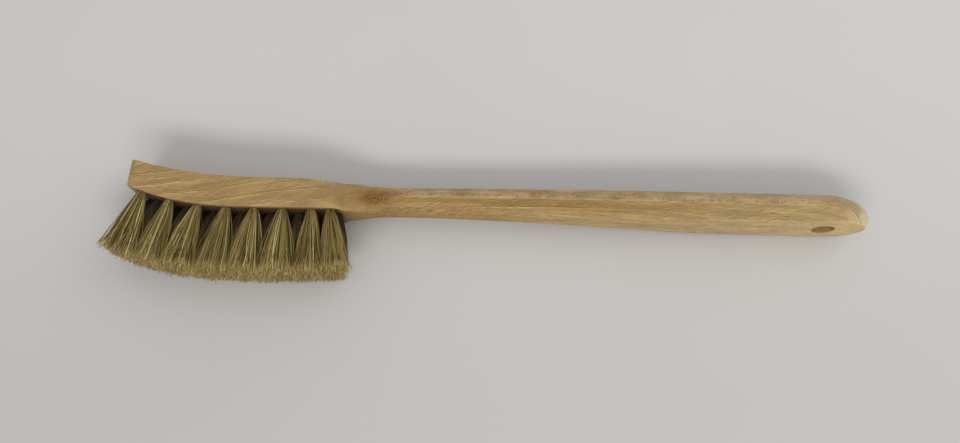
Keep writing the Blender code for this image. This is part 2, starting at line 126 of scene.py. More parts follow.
@dataclass
class NodeDesk:
    """Lays nodes in one tree and joins them up.

    Attributes:
        tree: The node tree that the nodes go into.
    """

    tree: bpy.types.NodeTree

    def node(self, kind: str, **settings: Any) -> bpy.types.Node:
        """Adds a node.

        Args:
            kind: The node's type name.
            settings: The node's own settings, by name.

        Returns:
            The new node.
        """
        node = self.tree.nodes.new(kind)
        for name, value in settings.items():
            setattr(node, name, value)
        return node

    def feed(self, socket: Socket, value: Any) -> None:
        """Joins a socket to another one, or gives it a value.

        Args:
            socket: The input to feed.
            value: An output socket, a number, a colour or a vector.
        """
        if isinstance(value, bpy.types.NodeSocket):
            self.tree.links.new(value, socket)
        elif isinstance(value, tuple) and socket.type == "RGBA":
            socket.default_value = (*value[:3], 1)
        else:
            socket.default_value = value

    def sum(self, step: MathStep, first: Any, *others: Any) -> Socket:
        """Works out a sum on two values, and then on its result and each further value.

        Args:
            step: The kind of sum.
            first: The first value.
            others: The other values, none for a sum on one value.

        Returns:
            The result's socket.
        """
        result = first
        for other in others or (0.0,):
            node = self.node("ShaderNodeMath", operation=step.value)
            self.feed(node.inputs[0], result)
            self.feed(node.inputs[1], other)
            result = node.outputs[0]
        return result

    def times(self, *values: Any) -> Any:
        """Multiplies values, or gives the only one back."""
        return self.sum(MathStep.MULTIPLY, *values) if len(values) > 1 else values[0]

    def plus(self, first: Any, second: Any) -> Socket:
        """Adds two values."""
        return self.sum(MathStep.ADD, first, second)

    def minus(self, first: Any, *others: Any) -> Socket:
        """Takes the other values from the first one."""
        return self.sum(MathStep.SUBTRACT, first, *others)

    def larger(self, *values: Any) -> Socket:
        """Gives the largest of its values."""
        return self.sum(MathStep.MAXIMUM, *values)

    def unsigned(self, value: Any) -> Socket:
        """Gives a value without its sign."""
        return self.sum(MathStep.ABSOLUTE, value)

    def spread(self, value: Any, low: float, high: float, to_low: float = 0.0, to_high: float = 1.0) -> Socket:
        """Maps a range of values smoothly to another one.

        Args:
            value: The value to map.
            low: The value that gives to_low.
            high: The value that gives to_high.
            to_low: The lowest result.
            to_high: The highest result.

        Returns:
            The result's socket.
        """
        node = self.node("ShaderNodeMapRange", interpolation_type="SMOOTHSTEP")
        names = ("Value", "From Min", "From Max", "To Min", "To Max")
        for name, given in zip(names, (value, low, high, to_low, to_high)):
            self.feed(node.inputs[name], given)
        return node.outputs["Result"]

    def within(self, value: Any, start: Ramp, end: Ramp) -> Socket:
        """Gives 1 between two soft changes, and 0 outside them."""
        return self.times(self.spread(value, *start), self.spread(value, *end))

    def without(self, mask: Any, left: float = 0.0) -> Socket:
        """Gives 1 where a mask is 0, and what is left where it is 1."""
        return self.spread(mask, *WHOLE, 1.0, left)

    def scaled(self, vector: Any, scale: Triple, place: Triple = (0, 0, 0)) -> Socket:
        """Moves and then stretches coordinates.

        Args:
            vector: The coordinates.
            scale: How much each axis is multiplied by.
            place: The point that becomes zero.

        Returns:
            The new coordinates' socket.
        """
        moved = self.node("ShaderNodeVectorMath", operation="SUBTRACT")
        self.feed(moved.inputs[0], vector)
        moved.inputs[1].default_value = place
        node = self.node("ShaderNodeVectorMath", operation="MULTIPLY")
        self.feed(node.inputs[0], moved.outputs[0])
        node.inputs[1].default_value = scale
        return node.outputs[0]

    def distance(self, vector: Any, scale: Triple, place: Triple) -> Socket:
        """Measures how far coordinates lie from a point.

        Args:
            vector: The coordinates.
            scale: How much each axis counts.
            place: The point.

        Returns:
            The distance's socket.
        """
        node = self.node("ShaderNodeVectorMath", operation="LENGTH")
        self.feed(node.inputs[0], self.scaled(vector, scale, place))
        return node.outputs["Value"]

    def noise(self, vector: Any, scale: Any, detail: float = 2.0, roughness: float = 0.5) -> Socket:
        """Adds soft noise.

        Args:
            vector: The coordinates.
            scale: How fine it is.
            detail: How many finer layers it has.
            roughness: How strong the finer layers are.

        Returns:
            The noise's value, about 0.5 in the middle.
        """
        node = self.node("ShaderNodeTexNoise")
        names = ("Vector", "Scale", "Detail", "Roughness")
        for name, value in zip(names, (vector, scale, detail, roughness)):
            self.feed(node.inputs[name], value)
        return node.outputs["Fac"]

    def cloud(self, vector: Any, scale: Triple, detail: float = 2.0) -> Socket:
        """Adds soft noise on coordinates that are stretched first."""
        return self.noise(self.scaled(vector, scale), 1.0, detail)

    def dashes(self, vector: Any, size: float, share: Any) -> Socket:
        """Scatters small marks, one in each cell of the stretched coordinates at the most.

        Args:
            vector: The coordinates, stretched so that a cell is 1 long each way.
            size: How much of its cell a mark fills.
            share: How many of the cells have a mark.

        Returns:
            A mask, 1 in the middle of the strongest marks.
        """
        core_share = weakest = 0.45
        node = self.node("ShaderNodeTexVoronoi")
        self.feed(node.inputs["Vector"], vector)
        node.inputs["Scale"].default_value = 1.0
        chance = self.node("ShaderNodeSeparateColor")
        self.feed(chance.inputs[0], node.outputs["Color"])
        kept = self.sum(MathStep.LESS_THAN, chance.outputs[0], share)
        strength = self.spread(chance.outputs[1], *WHOLE, weakest, 1.0)
        return self.times(self.spread(node.outputs["Distance"], size, size * core_share), kept, strength)

    def curve(self, value: Any, points: list[Ramp]) -> Socket:
        """Follows a smooth curve through points.

        Args:
            value: Where to read the curve.
            points: The curve's points, from left to right.

        Returns:
            The curve's height there.
        """
        low, high = min(y for _, y in points), max(y for _, y in points)
        start, end = points[0][0], points[-1][0]
        node = self.node("ShaderNodeFloatCurve")
        line = node.mapping.curves[0]
        while len(line.points) < len(points):
            line.points.new(0.5, 0.5)
        for point, (x, y) in zip(line.points, points):
            point.location = ((x - start) / (end - start), (y - low) / (high - low))
        node.mapping.update()
        share = self.sum(MathStep.DIVIDE, self.minus(value, start), end - start)
        self.feed(node.inputs["Value"], share)
        return self.plus(self.times(node.outputs[0], high - low), low)

    def parts(self, vector: Any) -> tuple[Socket, ...]:
        """Splits coordinates.

        Args:
            vector: The coordinates.

        Returns:
            Their three values' sockets.
        """
        node = self.node("ShaderNodeSeparateXYZ")
        self.feed(node.inputs[0], vector)
        return tuple(node.outputs)

    def joined(self, *values: Any) -> Socket:
        """Joins values into coordinates.

        Args:
            values: The three values.

        Returns:
            The coordinates' socket.
        """
        node = self.node("ShaderNodeCombineXYZ")
        for socket, value in zip(node.inputs, values):
            self.feed(socket, value)
        return node.outputs[0]

    def blend(self, share: Any, first: Any, second: Any, way: BlendWay = BlendWay.MIX) -> Socket:
        """Blends two colours.

        Args:
            share: How much of the second colour shows.
            first: The first colour.
            second: The second colour.
            way: The way to blend them.

        Returns:
            The blended colour's socket.
        """
        node = self.node("ShaderNodeMix", data_type="RGBA", blend_type=way.value)
        self.feed(node.inputs[0], share)
        self.feed(node.inputs[6], first)
        self.feed(node.inputs[7], second)
        return node.outputs[2]

    def coats(self, color: Any, *layers: Layer) -> Any:
        """Lays shades over a colour, each as strongly as the product of its masks.

        Args:
            color: The colour underneath.
            layers: The layers in order, each a shade and its masks.

        Returns:
            The colour on top.
        """
        for shade, *masks in layers:
            color = self.blend(self.times(*masks), color, shade)
        return color

    def greyed(self, share: Any, color: Any, value: Any) -> Socket:
        """Makes a colour lighter or darker by a value, through the shared grey."""
        return self.blend(share, color, self.group(grey_group(), Value=value).outputs["Color"], BlendWay.MULTIPLY)

    def group(self, tree: bpy.types.NodeTree, **values: Any) -> bpy.types.Node:
        """Places a shared node group.

        Args:
            tree: The group.
            values: What its inputs are fed with, by name.

        Returns:
            The group's node.
        """
        node = self.node("ShaderNodeGroup", node_tree=tree)
        for name, value in values.items():
            self.feed(node.inputs[name], value)
        return node

    def streaked(self, streaks: bpy.types.NodeTree, vector: Any, scale: Triple) -> Socket:
        """Places the shared streaks on coordinates that are stretched first."""
        return self.group(streaks, Vector=self.scaled(vector, scale), Scale=1.0).outputs["Value"]

    def coordinates(self) -> Socket:
        """Gives the object's own coordinates."""
        return self.node("ShaderNodeTexCoord").outputs["Object"]

    def noted(self, name: str) -> Socket:
        """Gives a value that the mesh stores at its corners."""
        return self.node("ShaderNodeAttribute", attribute_name=name).outputs["Fac"]


def new_group(name: str, takes: dict[str, str], gives: dict[str, str]) -> tuple[bpy.types.NodeTree, NodeDesk, Any, Any]:
    """Starts a shared node group.

    Args:
        name: The group's name.
        takes: The inputs' names and socket types.
        gives: The outputs' names and socket types.

    Returns:
        The group, a desk to lay its nodes on, its inputs and its outputs.
    """
    tree = bpy.data.node_groups.new(name, "ShaderNodeTree")
    for way, sockets in (("INPUT", takes), ("OUTPUT", gives)):
        for title, kind in sockets.items():
            tree.interface.new_socket(title, in_out=way, socket_type=kind)
    desk = NodeDesk(tree)
    entry = desk.node("NodeGroupInput")
    result = desk.node("NodeGroupOutput")
    return tree, desk, entry.outputs, result.inputs


def streak_group() -> bpy.types.NodeTree:
    """Makes the shared streaks: fine fibres that run along one axis, with slow patches over them.

    Returns:
        The group. It takes coordinates that are already stretched, and gives a value from 0 to 1.
    """
    patch_scale, patch_ends, patch_strengths = 0.17, (0.3, 0.7), (0.75, 1.25)
    tree, desk, takes, gives = new_group(
        "fine_streaks", {"Vector": "NodeSocketVector", "Scale": "NodeSocketFloat"}, {"Value": "NodeSocketFloat"}
    )
    fine = desk.noise(takes["Vector"], takes["Scale"], 3.0, 0.6)
    patch = desk.noise(takes["Vector"], desk.times(takes["Scale"], patch_scale), 1.0)
    joined = desk.times(fine, desk.spread(patch, *patch_ends, *patch_strengths))
    desk.feed(gives["Value"], desk.spread(joined, *MIDDLE))
    return tree


def grey_group() -> bpy.types.NodeTree:
    """Finds or makes the shared group that turns a value into a grey.

    Returns:
        The group.
    """
    found = bpy.data.node_groups.get("grey_from_value")
    if found:
        return found
    tree, desk, takes, gives = new_group(
        "grey_from_value", {"Value": "NodeSocketFloat"}, {"Color": "NodeSocketColor"}
    )
    joined = desk.node("ShaderNodeCombineColor")
    for socket in joined.inputs:
        desk.feed(socket, takes["Value"])
    desk.feed(gives["Color"], joined.outputs[0])
    return tree


def new_material(name: str, specular: float | None = None) -> tuple[bpy.types.Material, NodeDesk, bpy.types.Node]:
    """Starts a material.

    Args:
        name: The material's name.
        specular: How much it reflects, if not as much as usual.

    Returns:
        The material, a desk to lay its nodes on, and its Principled shader.
    """
    material = bpy.data.materials.new(name)
    material.use_nodes = True
    shader = material.node_tree.nodes["Principled BSDF"]
    if specular is not None:
        shader.inputs["Specular IOR Level"].default_value = specular
    return material, NodeDesk(material.node_tree), shader


def add_bump(desk: NodeDesk, shader: bpy.types.Node, height: Any, strength: float, distance: float) -> None:
    """Gives a material its relief.

    Args:
        desk: The desk of the material.
        shader: The material's shader.
        height: The relief's height.
        strength: How strong it looks.
        distance: How deep a height of 1 is.
    """
    bump = desk.node("ShaderNodeBump")
    bump.inputs["Strength"].default_value = strength
    bump.inputs["Distance"].default_value = distance
    desk.feed(bump.inputs["Height"], height)
    desk.feed(shader.inputs["Normal"], bump.outputs["Normal"])


@dataclass(frozen=True)
class BodyMarks:
    """Places on the body that its material follows, measured from the toe, the back and the middle.

    Attributes:
        origin: Where the toe's plane, the handle's back and the middle lie in the frame.
        arris: How high the edge between the crowned back and the flat side lies along the handle.
        crown_from: Where the crowned back starts.
        bore: The hanging hole's axis, which runs along Y.
        bore_radius: The hanging hole's radius.
        patch: The middle of the dark patch on the neck.
    """

    origin: Vector
    arris: list[tuple[float, float]]
    crown_from: float
    bore: Vector
    bore_radius: float
    patch: Vector


@dataclass
class BeechPattern:
    """Where each layer of the beech shows: rings, grain, small marks, and regions of the brush.

    The rings are layers in the log. They lean across the head, and they rise and fall along it by
    ring_drift, so that they show as slanting lines on the flat sides and as long arches on the handle.
    A Ramp holds the two ends of a soft change, which runs backwards where the second one is smaller.
    Its places lie along the brush from the toe. What starts with faces is how much a surface faces an axis.

    Attributes:
        desk: The desk of the material.
        streaks: The shared streaks.
        marks: The body's places that the pattern follows.
        ring_width, ring_tilt: How far the rings lie apart, and lean from the flat side of the head.
        ring_drift: How high the rings lie along the brush, in millimetres from the toe and the back.
        ring_wander: How far they wander from there.
        line_rise, line_fall, under_line_ends: The pale line that ends a ring, and the dark one that
            starts the next, as shares of a ring.
        dash_slant: How steeply the dashes and the fine grain cross the rings.
        toe_slant, toe_ends_at: How much steeper they are towards the toe, and where that stops.
        neck_ends, neck_drop: Where they lie flatter on the neck, and how far they fall back there.
        dash_scale, long_dash_scale: How many cells of dashes there are to a metre, each way.
        glint_offset: How far the glint, a painted highlight, at a dash lies beside it.
        scoop_start, scoop_end: The scooped shoulder behind the flat head.
        calm_start, calm_end: The stretch of the neck that shows no rings.
        handle_ends, beneath_from: Where the handle starts, and where its underside looks its own way.
        crown_lead, crown_end: How the crowned back fades in at its start, and where it ends.
        nose_from: Where the handle rounds to its tip.
        patch_scale: How small the dark patch on the neck is, each way.
        chips_at: The middle of the small chips beside the hanging hole.
    """

    desk: NodeDesk
    streaks: bpy.types.NodeTree
    marks: BodyMarks
    ring_width: float = 2.75 * MM
    ring_tilt: float = math.radians(35)
    ring_drift: tuple[Ramp, ...] = (
        (0, -30.3), (10, -29.4), (20, -28.2), (36.6, -25.9), (47.9, -23.7), (59.2, -21.8), (70.2, -20.5),
        (78.8, -19.5), (100, -18.2), (120, -17.6), (139.6, -17.35), (152.1, -18), (190, -20.9), (212, -22.5),
        (230, -25), (242, -27), (260, -28.6), (281, -31.7), (302, -35.5),
    )
    ring_wander: float = 0.35 * MM
    line_rise: Ramp = (0.93, 0.965)
    line_fall: Ramp = (1.0, 0.985)
    under_line_ends: Ramp = (0.13, 0.02)
    dash_slant: float = 0.32
    toe_slant: float = 0.27
    toe_ends_at: float = 45 * MM
    neck_ends: Ramp = mm(90, 126)
    neck_drop: float = 7.5 * MM
    dash_scale: Triple = (430, 1200, 1750)
    long_dash_scale: Triple = (250, 800, 1450)
    glint_offset: float = 0.36 * MM
    scoop_start: Ramp = mm(79, 83)
    scoop_end: Ramp = mm(102, 96)
    calm_start: Ramp = mm(78, 85)
    calm_end: Ramp = mm(130, 118)
    handle_ends: Ramp = mm(120, 140)
    beneath_from: Ramp = mm(130, 190)
    crown_end: Ramp = mm(290, 270)
    crown_lead: Ramp = mm(1, 7)
    nose_from: Ramp = mm(285, 290)
    patch_scale: Triple = (105, 260, 110)
    chips_at: Triple = mm(276.4, 0, -1.6)

    def __post_init__(self) -> None:
        """Lays the coordinates and the masks that more than one layer uses."""
        desk = self.desk
        self.place = desk.scaled(desk.coordinates(), (1, 1, 1), tuple(self.marks.origin))
        self.x, self.y, self.z = desk.parts(self.place)
        faces = desk.parts(desk.node("ShaderNodeNewGeometry").outputs["Normal"])
        self.faces_x, self.faces_y, self.faces_z = faces
        self.outer = desk.unsigned(self.z)
        self.wander = desk.cloud(self.place, (16, 90, 90))
        self.out, self.around = self.log_places()
        self.grained = desk.joined(self.x, self.out, self.around)
        self.ring = desk.sum(MathStep.FRACTION, desk.sum(MathStep.DIVIDE, self.out, self.ring_width))
        self.fibres = desk.streaked(self.streaks, self.grained, (130, 2900, 2900))
        self.bands = desk.streaked(self.streaks, self.grained, (13, 520, 520))
        self.blotch = desk.cloud(self.place, (105, 150, 150))
        self.find_regions()
        self.line, self.under_line = self.ring_lines()
        self.scatter_dashes()

    def log_places(self) -> tuple[Socket, Socket]:
        """Finds where a point lies in the log.

        Returns:
            How far out it lies across the rings, and how far around along them.
        """
        desk, slope, rise = self.desk, math.cos(self.ring_tilt), math.sin(self.ring_tilt)
        drift = desk.curve(self.x, [(along * MM, height * MM) for along, height in self.ring_drift])
        drift = desk.plus(drift, desk.spread(self.wander, *MIDDLE, -self.ring_wander, self.ring_wander))
        level = desk.minus(self.y, drift)
        out = desk.minus(desk.times(level, rise), desk.times(self.z, slope))
        return out, desk.plus(desk.times(level, slope), desk.times(self.z, rise))

    def find_regions(self) -> None:
        """Masks the neck, the scooped shoulder, the crowned back, the underside and the tip."""
        desk, x, crown = self.desk, self.x, self.marks.crown_from
        self.calm = desk.within(x, self.calm_start, self.calm_end)
        self.along_handle = desk.spread(x, *self.handle_ends)
        self.scooped = desk.within(x, self.scoop_start, self.scoop_end)
        self.calmed = desk.without(self.scooped, 0.5)
        self.below_arris = desk.minus(self.y, desk.curve(x, self.marks.arris))
        self.on_handle = desk.spread(x, crown - self.crown_lead[0], crown + self.crown_lead[1])
        above = desk.spread(self.below_arris, *mm(-0.05, 0.1))
        crowned = desk.times(above, self.on_handle, desk.spread(x, *self.crown_end))
        self.crowned = desk.larger(crowned, desk.spread(self.faces_y, 0.3, 0.8))
        self.beneath = desk.times(desk.spread(self.faces_y, -0.3, -0.8), desk.spread(x, *self.beneath_from))
        self.nosed = desk.times(desk.spread(x, *self.nose_from), desk.spread(self.faces_x, 0.1, 0.2))

    def ring_lines(self) -> tuple[Socket, Socket]:
        """Draws the broken lines between the rings, on the flat sides.

        Returns:
            The pale lines, and the dark ones beside them.
        """
        desk = self.desk
        flat = desk.spread(desk.unsigned(self.faces_z), 0.8, 0.97)
        broken = desk.spread(desk.cloud(self.grained, (210, 500, 500)), 0.34, 0.56)
        broken = desk.times(broken, desk.times(flat, desk.without(self.calm)))
        line = desk.times(desk.within(self.ring, self.line_rise, self.line_fall), broken)
        return line, desk.times(desk.spread(self.ring, *self.under_line_ends), broken)

    def scatter_dashes(self) -> None:
        """Scatters the dashes with their glints, which are painted highlights beside them, the crown's flecks and the
        fine grain between them.
        """
        desk, x = self.desk, self.x
        patchy = desk.spread(desk.cloud(self.place, (55, 260, 260)), 0.35, 0.6, 0.3, 0.85)
        thinned = desk.times(
            patchy, desk.spread(self.ring, 1.0, 0.1, 0.35, 1.0), desk.without(self.beneath, 0.3),
            desk.without(self.scooped, 0.15),
        )
        toe_side = desk.larger(desk.minus(self.toe_ends_at, x), 0.0)
        sheared = desk.plus(desk.times(x, self.dash_slant), desk.times(toe_side, self.toe_slant))
        sheared = desk.minus(sheared, desk.spread(x, *self.neck_ends, 0.0, self.neck_drop))
        slope, rise = math.cos(self.ring_tilt), math.sin(self.ring_tilt)
        slanted = desk.joined(
            x, desk.minus(self.out, desk.times(sheared, rise)), desk.minus(self.around, desk.times(sheared, slope))
        )
        long_share = desk.times(thinned, 0.8)
        # The glints are painted highlights: the same dashes, moved a little beside them.
        beside = (0, -self.glint_offset * rise, -self.glint_offset * slope)
        self.dashes, self.glints = (
            desk.larger(
                desk.dashes(desk.scaled(slanted, self.dash_scale, offset), 0.5, thinned),
                desk.dashes(desk.scaled(slanted, self.long_dash_scale, offset), 0.46, long_share),
            )
            for offset in ((0, 0, 0), beside)
        )
        self.grain = desk.streaked(self.streaks, slanted, (210, 1150, 1150))
        off_arris = desk.unsigned(desk.minus(self.below_arris, 1.1 * MM))
        near_arris = desk.spread(off_arris, *mm(2.2, 0.6), 0.12, 0.9)
        self.flecks = desk.times(desk.dashes(desk.scaled(self.place, (1000, 400, 400)), 0.46, near_arris), self.crowned)

    def stripes(self) -> Socket:
        """Masks the long stripes on the handle's underside."""
        fine = self.desk.cloud(self.grained, (9, 1000, 1000), 1.0)
        return self.desk.times(self.desk.spread(fine, 0.5, 0.64), self.beneath)

    def golden(self) -> Socket:
        """Masks the warmest part of the handle.

        Returns:
            The mask.
        """
        desk, x = self.desk, self.x
        along = desk.times(desk.spread(x, *mm(80, 100)), desk.spread(x, *mm(210, 150), 0.5, 1.0))
        return desk.times(along, desk.without(self.crowned, 0.3), desk.without(self.beneath))

    def worn_and_lit_arris(self) -> Socket:
        """Masks the pale line along the arris between the crown and the flat side: partly rubbed wood, partly painted
        highlight.

        Returns:
            The mask.
        """
        desk = self.desk
        edge = desk.spread(desk.unsigned(self.below_arris), *mm(0.26, 0.08))
        patchy = desk.spread(self.blotch, 0.3, 0.5, 0.4, 1.0)
        return desk.times(edge, patchy, self.on_handle, desk.spread(self.x, *mm(284, 270)))

    def tip_marks(self) -> tuple[Socket, Socket, Socket, Socket]:
        """Masks the arris round the handle's tip.

        Returns:
            The painted highlight in a crescent outside it, the painted shade in a line beside it, the painted glint on
            it, and the tip's end face, partly paler wood and partly painted light.
        """
        desk, outer, nosed = self.desk, self.outer, self.nosed
        # Painted light and shade on the tip's arris: a highlight crescent and glint, with a shaded line beside them.
        crescent = desk.times(desk.spread(outer, *mm(7.8, 8.4)), desk.spread(self.y, *mm(-7.2, -9)), nosed)
        tip_arris_shade = desk.times(desk.within(outer, mm(7.5, 7.8), mm(8.15, 7.9)), nosed, desk.spread(self.y, *mm(-7.6, -9)))
        glint = desk.times(desk.within(outer, mm(7.85, 8.1), mm(8.5, 8.2)), nosed, desk.spread(self.y, *mm(-8, -9.4)))
        end_face = desk.times(desk.spread(self.x, *mm(291, 294)), desk.spread(self.faces_x, 0.35, 0.7))
        return crescent, tip_arris_shade, glint, end_face

    def pores(self) -> Socket:
        """Masks the pores in the toe's end grain.

        Returns:
            The mask.
        """
        desk = self.desk
        facing = desk.spread(desk.unsigned(self.faces_x), 0.7, 0.95)
        pored = desk.dashes(desk.scaled(self.place, (2500, 2500, 2500)), 0.5, 0.6)
        return desk.times(facing, desk.spread(self.x, *mm(50, 20)), pored)

    def neck_stain(self) -> tuple[Socket, Socket, Socket]:
        """Masks the dark patch on the neck.

        Returns:
            Its faint halo, the patch itself and the pale grains in it and on the scooped shoulder.
        """
        desk = self.desk
        ragged = desk.distance(self.place, self.patch_scale, tuple(self.marks.patch))
        ragged = desk.plus(ragged, desk.spread(self.grain, *USUAL, -0.25, 0.25))
        ragged = desk.plus(ragged, desk.spread(self.wander, *MIDDLE, -0.2, 0.2))
        stained = desk.spread(ragged, 1.25, 0.35)
        grains = desk.spread(desk.cloud(self.place, (1300, 1900, 1900), 1.0), 0.62, 0.7)
        grains = desk.times(grains, desk.larger(stained, desk.times(self.scooped, 0.6)))
        return desk.spread(ragged, 2.2, 0.9), stained, grains

    def head_corner(self) -> Socket:
        """Masks the greenish corner where the head's flat side ends.

        Returns:
            The mask.
        """
        desk, x, cut_at, cut_slope = self.desk, self.x, 79.7 * MM, 0.263
        cut = desk.plus(self.y, desk.times(desk.minus(x, cut_at), cut_slope))
        corner = desk.times(desk.spread(cut, *mm(-9.5, -9.8)), desk.spread(x, *mm(73, 81)))
        return desk.times(corner, desk.spread(x, *mm(89.5, 88)), desk.spread(self.faces_z, 0.5, 0.7))

    def chips(self) -> Socket:
        """Masks the small chips beside the hanging hole.

        Returns:
            The mask.
        """
        desk = self.desk
        away = desk.distance(self.place, (330, 0, 290), self.chips_at)
        chips = desk.dashes(desk.scaled(self.place, (800, 0, 420)), 0.5, 0.8)
        return desk.times(chips, desk.spread(away, 1.1, 0.5), self.beneath)

    def under_head(self) -> tuple[Socket, Socket]:
        """Masks the head's underside, which takes painted shade.

        Returns:
            All of it, and the part between the rows of tufts, where the painted shade is deepest.
        """
        desk, x = self.desk, self.x
        under = desk.times(desk.spread(self.faces_y, -0.45, -0.75), desk.spread(x, *mm(94, 84)))
        under = desk.times(under, desk.spread(x, *mm(1, 6)))
        return under, desk.times(under, desk.spread(self.outer, *mm(10, 8.6)), desk.spread(x, *mm(88.5, 84)))

    def in_bore(self) -> Socket:
        """Masks the speckled wall of the hanging hole.

        Returns:
            The mask.
        """
        desk, radius = self.desk, self.marks.bore_radius
        away = desk.distance(self.place, (1, 0, 1), tuple(self.marks.bore))
        speckled = desk.spread(desk.cloud(self.place, (700, 700, 700)), 0.4, 0.6, 0.9, 0.35)
        return desk.times(desk.spread(away, radius + 0.2 * MM, radius + 0.02 * MM), speckled)


@dataclass(frozen=True)
class BeechShares:
    """How strongly each layer of the beech shows, from 0 to 1. Pairs are for the head and the handle."""

    straw: float = 0.7
    bands: float = 0.45
    calm: float = 0.85
    handle_calm: float = 0.68
    least_calm: float = 0.25
    under_line: float = 0.38
    stripes: float = 0.75
    pale_end: float = 0.36
    # Painted light on the handle's underside.
    painted_light_beneath: float = 0.26
    # Painted highlights beside the dashes.
    glints: float = 0.3
    dashes: Ramp = (0.55, 0.44)
    flecks: float = 0.58
    lines: Ramp = (0.66, 0.5)
    # The pale arris line: partly rubbed wood, partly painted highlight.
    worn_and_lit: float = 0.36
    # The tip: partly paler wood, with painted light on its end, painted highlights on its arris and painted shade
    # beside them.
    nose: float = 0.3
    crescent: float = 0.35
    tip_arris_shade: float = 0.4
    tip_glint: float = 0.4
    end_face: float = 0.5
    pores: float = 0.3
    halo: float = 0.22
    stain: float = 0.88
    grains: float = 0.42
    corner: float = 0.55
    chips: float = 0.8
    # Painted shade on the head's underside, deepest between the rows of tufts.
    underside_shade: float = 0.3
    shade_between_rows: float = 0.8


